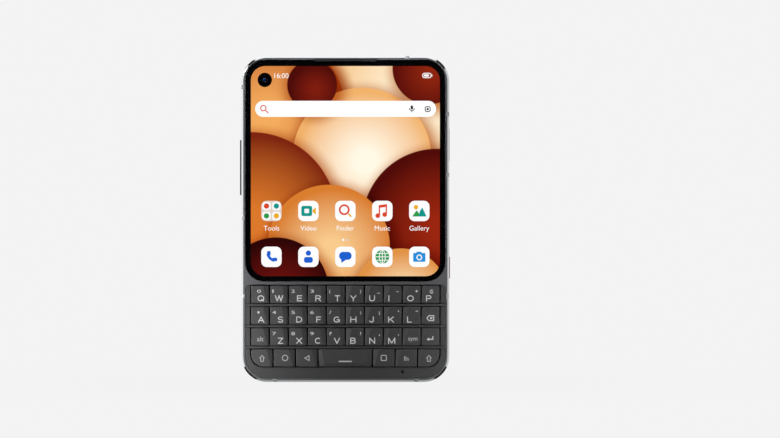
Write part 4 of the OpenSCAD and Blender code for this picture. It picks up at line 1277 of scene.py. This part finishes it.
class PHONE_OT_stage(bpy.types.Operator):
    """Pale floor, soft studio light and the camera of the photograph"""

    bl_idname = "phone.stage"
    bl_label = "Stage"

    def execute(self, context):
        stage = context.scene.phone_stage
        scene = context.scene
        low, high = (Vector(corner) for corner in CAD_BOX)
        middle = Vector((0, 0, high.z / 2))
        self.floor(stage)
        self.backdrop(scene, stage)
        # Name, place, size across and up, power in watts: soft boxes that all face the phone
        boxes = [
            ("left", (-0.75, -0.05, 0.1), 0.5, 0.9, 1.5),
            ("right", (0.75, -0.05, 0.1), 0.5, 0.9, 1.0),
            ("top", (0.0, -0.1, 1.1), 1.2, 0.8, 3.6),
            ("under", (0.0, -0.05, -0.8), 0.8, 0.6, 0.65),
            ("front", (-1.2, -0.9, 0.6), 0.8, 0.8, 5.7),
            ("strip_left", (-0.08, -0.028, 0.025), 0.02, 0.1, 0.137),
            ("strip_right", (0.08, -0.028, 0.025), 0.02, 0.1, 0.073),
            ("strip_top", (0.0, -0.04, 0.155), 0.12, 0.02, 0.09),
            ("rear", (0.5, 1.3, 0.9), 0.9, 0.9, 16.0),
        ]
        for name, place, w, h, power in boxes:
            light = bpy.data.lights.new("softbox_" + name, "AREA")
            light.shape = "RECTANGLE"
            light.size, light.size_y = w, h
            light.energy = power
            lamp = bpy.data.objects.new("softbox_" + name, light)
            lamp.location = place
            lamp.rotation_euler = (middle - Vector(place)).to_track_quat("-Z", "Y").to_euler()
            lamp.visible_camera = False
            # The strips stand close to the phone, so they are kept out of its mirrors
            lamp.visible_glossy = not name.startswith("strip")
            scene.collection.objects.link(lamp)
        camera = bpy.data.objects.new("camera", bpy.data.cameras.new("camera"))
        camera.location = (stage.aside, low.y - stage.camera_away, high.z / 2)
        camera.rotation_euler = (math.radians(90), 0, 0)
        camera.data.sensor_width = 36.0
        camera.data.lens = camera.data.sensor_width * stage.camera_away / stage.view_w
        scene.collection.objects.link(camera)
        scene.camera = camera
        scene.view_settings.view_transform = "Standard"
        return {"FINISHED"}

    def floor(self, stage):
        """Round pale floor that fades into the backdrop."""
        bm = bmesh.new()
        bmesh.ops.create_circle(bm, cap_ends=True, segments=96, radius=stage.floor_r)
        mesh = bpy.data.meshes.new("floor")
        bm.to_mesh(mesh)
        bm.free()
        material, tree = new_material("paper_floor")
        place = add(tree, "ShaderNodeTexCoord")
        away = add(tree, "ShaderNodeVectorMath", {0: place.outputs["Object"]}, operation="LENGTH")
        fade = add(tree, "ShaderNodeMapRange", {
            "Value": away.outputs["Value"], "From Min": 0.15 * stage.floor_r, "From Max": 0.6 * stage.floor_r,
        }, interpolation_type="SMOOTHSTEP")
        paper = add(tree, "ShaderNodeEmission", {"Color": stage.backdrop, "Strength": 0.99})
        clear = add(tree, "ShaderNodeBsdfTransparent")
        mixed = add(tree, "ShaderNodeMixShader", {
            0: fade.outputs[0], 1: paper.outputs[0], 2: clear.outputs[0],
        })
        mesh.materials.append(finished(material, mixed))
        floor = bpy.data.objects.new("floor", mesh)
        bpy.context.scene.collection.objects.link(floor)
        # The floor's own light is kept off the phone, whose low edge is lit from under the floor
        floor.visible_diffuse = False
        floor.visible_glossy = False
        floor.visible_shadow = False

    def backdrop(self, scene, stage):
        """Pale surroundings that give only a little light, and a grey wall behind the phone that shows in
        its mirrors."""
        dim, wall_glow = 0.005, 0.25
        world = bpy.data.worlds.new("studio")
        world.use_nodes = True
        tree = world.node_tree
        tree.nodes.clear()
        seen = add(tree, "ShaderNodeBackground", {"Color": stage.backdrop, "Strength": 1.0})
        path = add(tree, "ShaderNodeLightPath")
        place = add(tree, "ShaderNodeTexCoord")
        towards = add(tree, "ShaderNodeSeparateXYZ", {0: place.outputs["Generated"]})
        wall = add(tree, "ShaderNodeMapRange", {
            "Value": towards.outputs["Y"], "From Min": 0.1, "From Max": 0.5,
            "To Min": 0.0, "To Max": wall_glow,
        }, interpolation_type="SMOOTHSTEP")
        mirrored = add(tree, "ShaderNodeMath", {
            0: wall.outputs[0], 1: path.outputs["Is Glossy Ray"], 2: dim,
        }, operation="MULTIPLY_ADD")
        glow = add(tree, "ShaderNodeBackground", {"Color": (1, 1, 1, 1), "Strength": mirrored.outputs[0]})
        mixed = add(tree, "ShaderNodeMixShader", {
            0: path.outputs["Is Camera Ray"], 1: glow.outputs[0], 2: seen.outputs[0],
        })
        add(tree, "ShaderNodeOutputWorld", {0: mixed.outputs[0]})
        scene.world = world


OPERATORS = (
    PHONE_OT_frame, PHONE_OT_screen, PHONE_OT_picture, PHONE_OT_front_camera, PHONE_OT_keyboard,
    PHONE_OT_keys, PHONE_OT_sides, PHONE_OT_back, PHONE_OT_inside, PHONE_OT_stage,
)


class PHONE_PT_panel(bpy.types.Panel):
    """Lists the phone's pieces"""

    bl_label = "Phone"
    bl_idname = "PHONE_PT_panel"
    bl_space_type = "VIEW_3D"
    bl_region_type = "UI"
    bl_category = "Phone"

    def draw(self, context):
        for operator in OPERATORS:
            self.layout.operator(operator.bl_idname)


GROUPS = {"phone_sizes": PhoneSizes, "phone_colours": PhoneColours, "phone_stage": PhoneStage}


def register():
    for item in (*GROUPS.values(), *OPERATORS, PHONE_PT_panel):
        bpy.utils.register_class(item)
    for name, group in GROUPS.items():
        setattr(bpy.types.Scene, name, PointerProperty(type=group))


def unregister():
    for name in GROUPS:
        delattr(bpy.types.Scene, name)
    for item in reversed((*GROUPS.values(), *OPERATORS, PHONE_PT_panel)):
        bpy.utils.unregister_class(item)


def main():
    """Registers the add-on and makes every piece."""
    register()
    for operator in OPERATORS:
        group, name = operator.bl_idname.split(".")
        getattr(getattr(bpy.ops, group), name)()


if __name__ == "__main__":
    main()
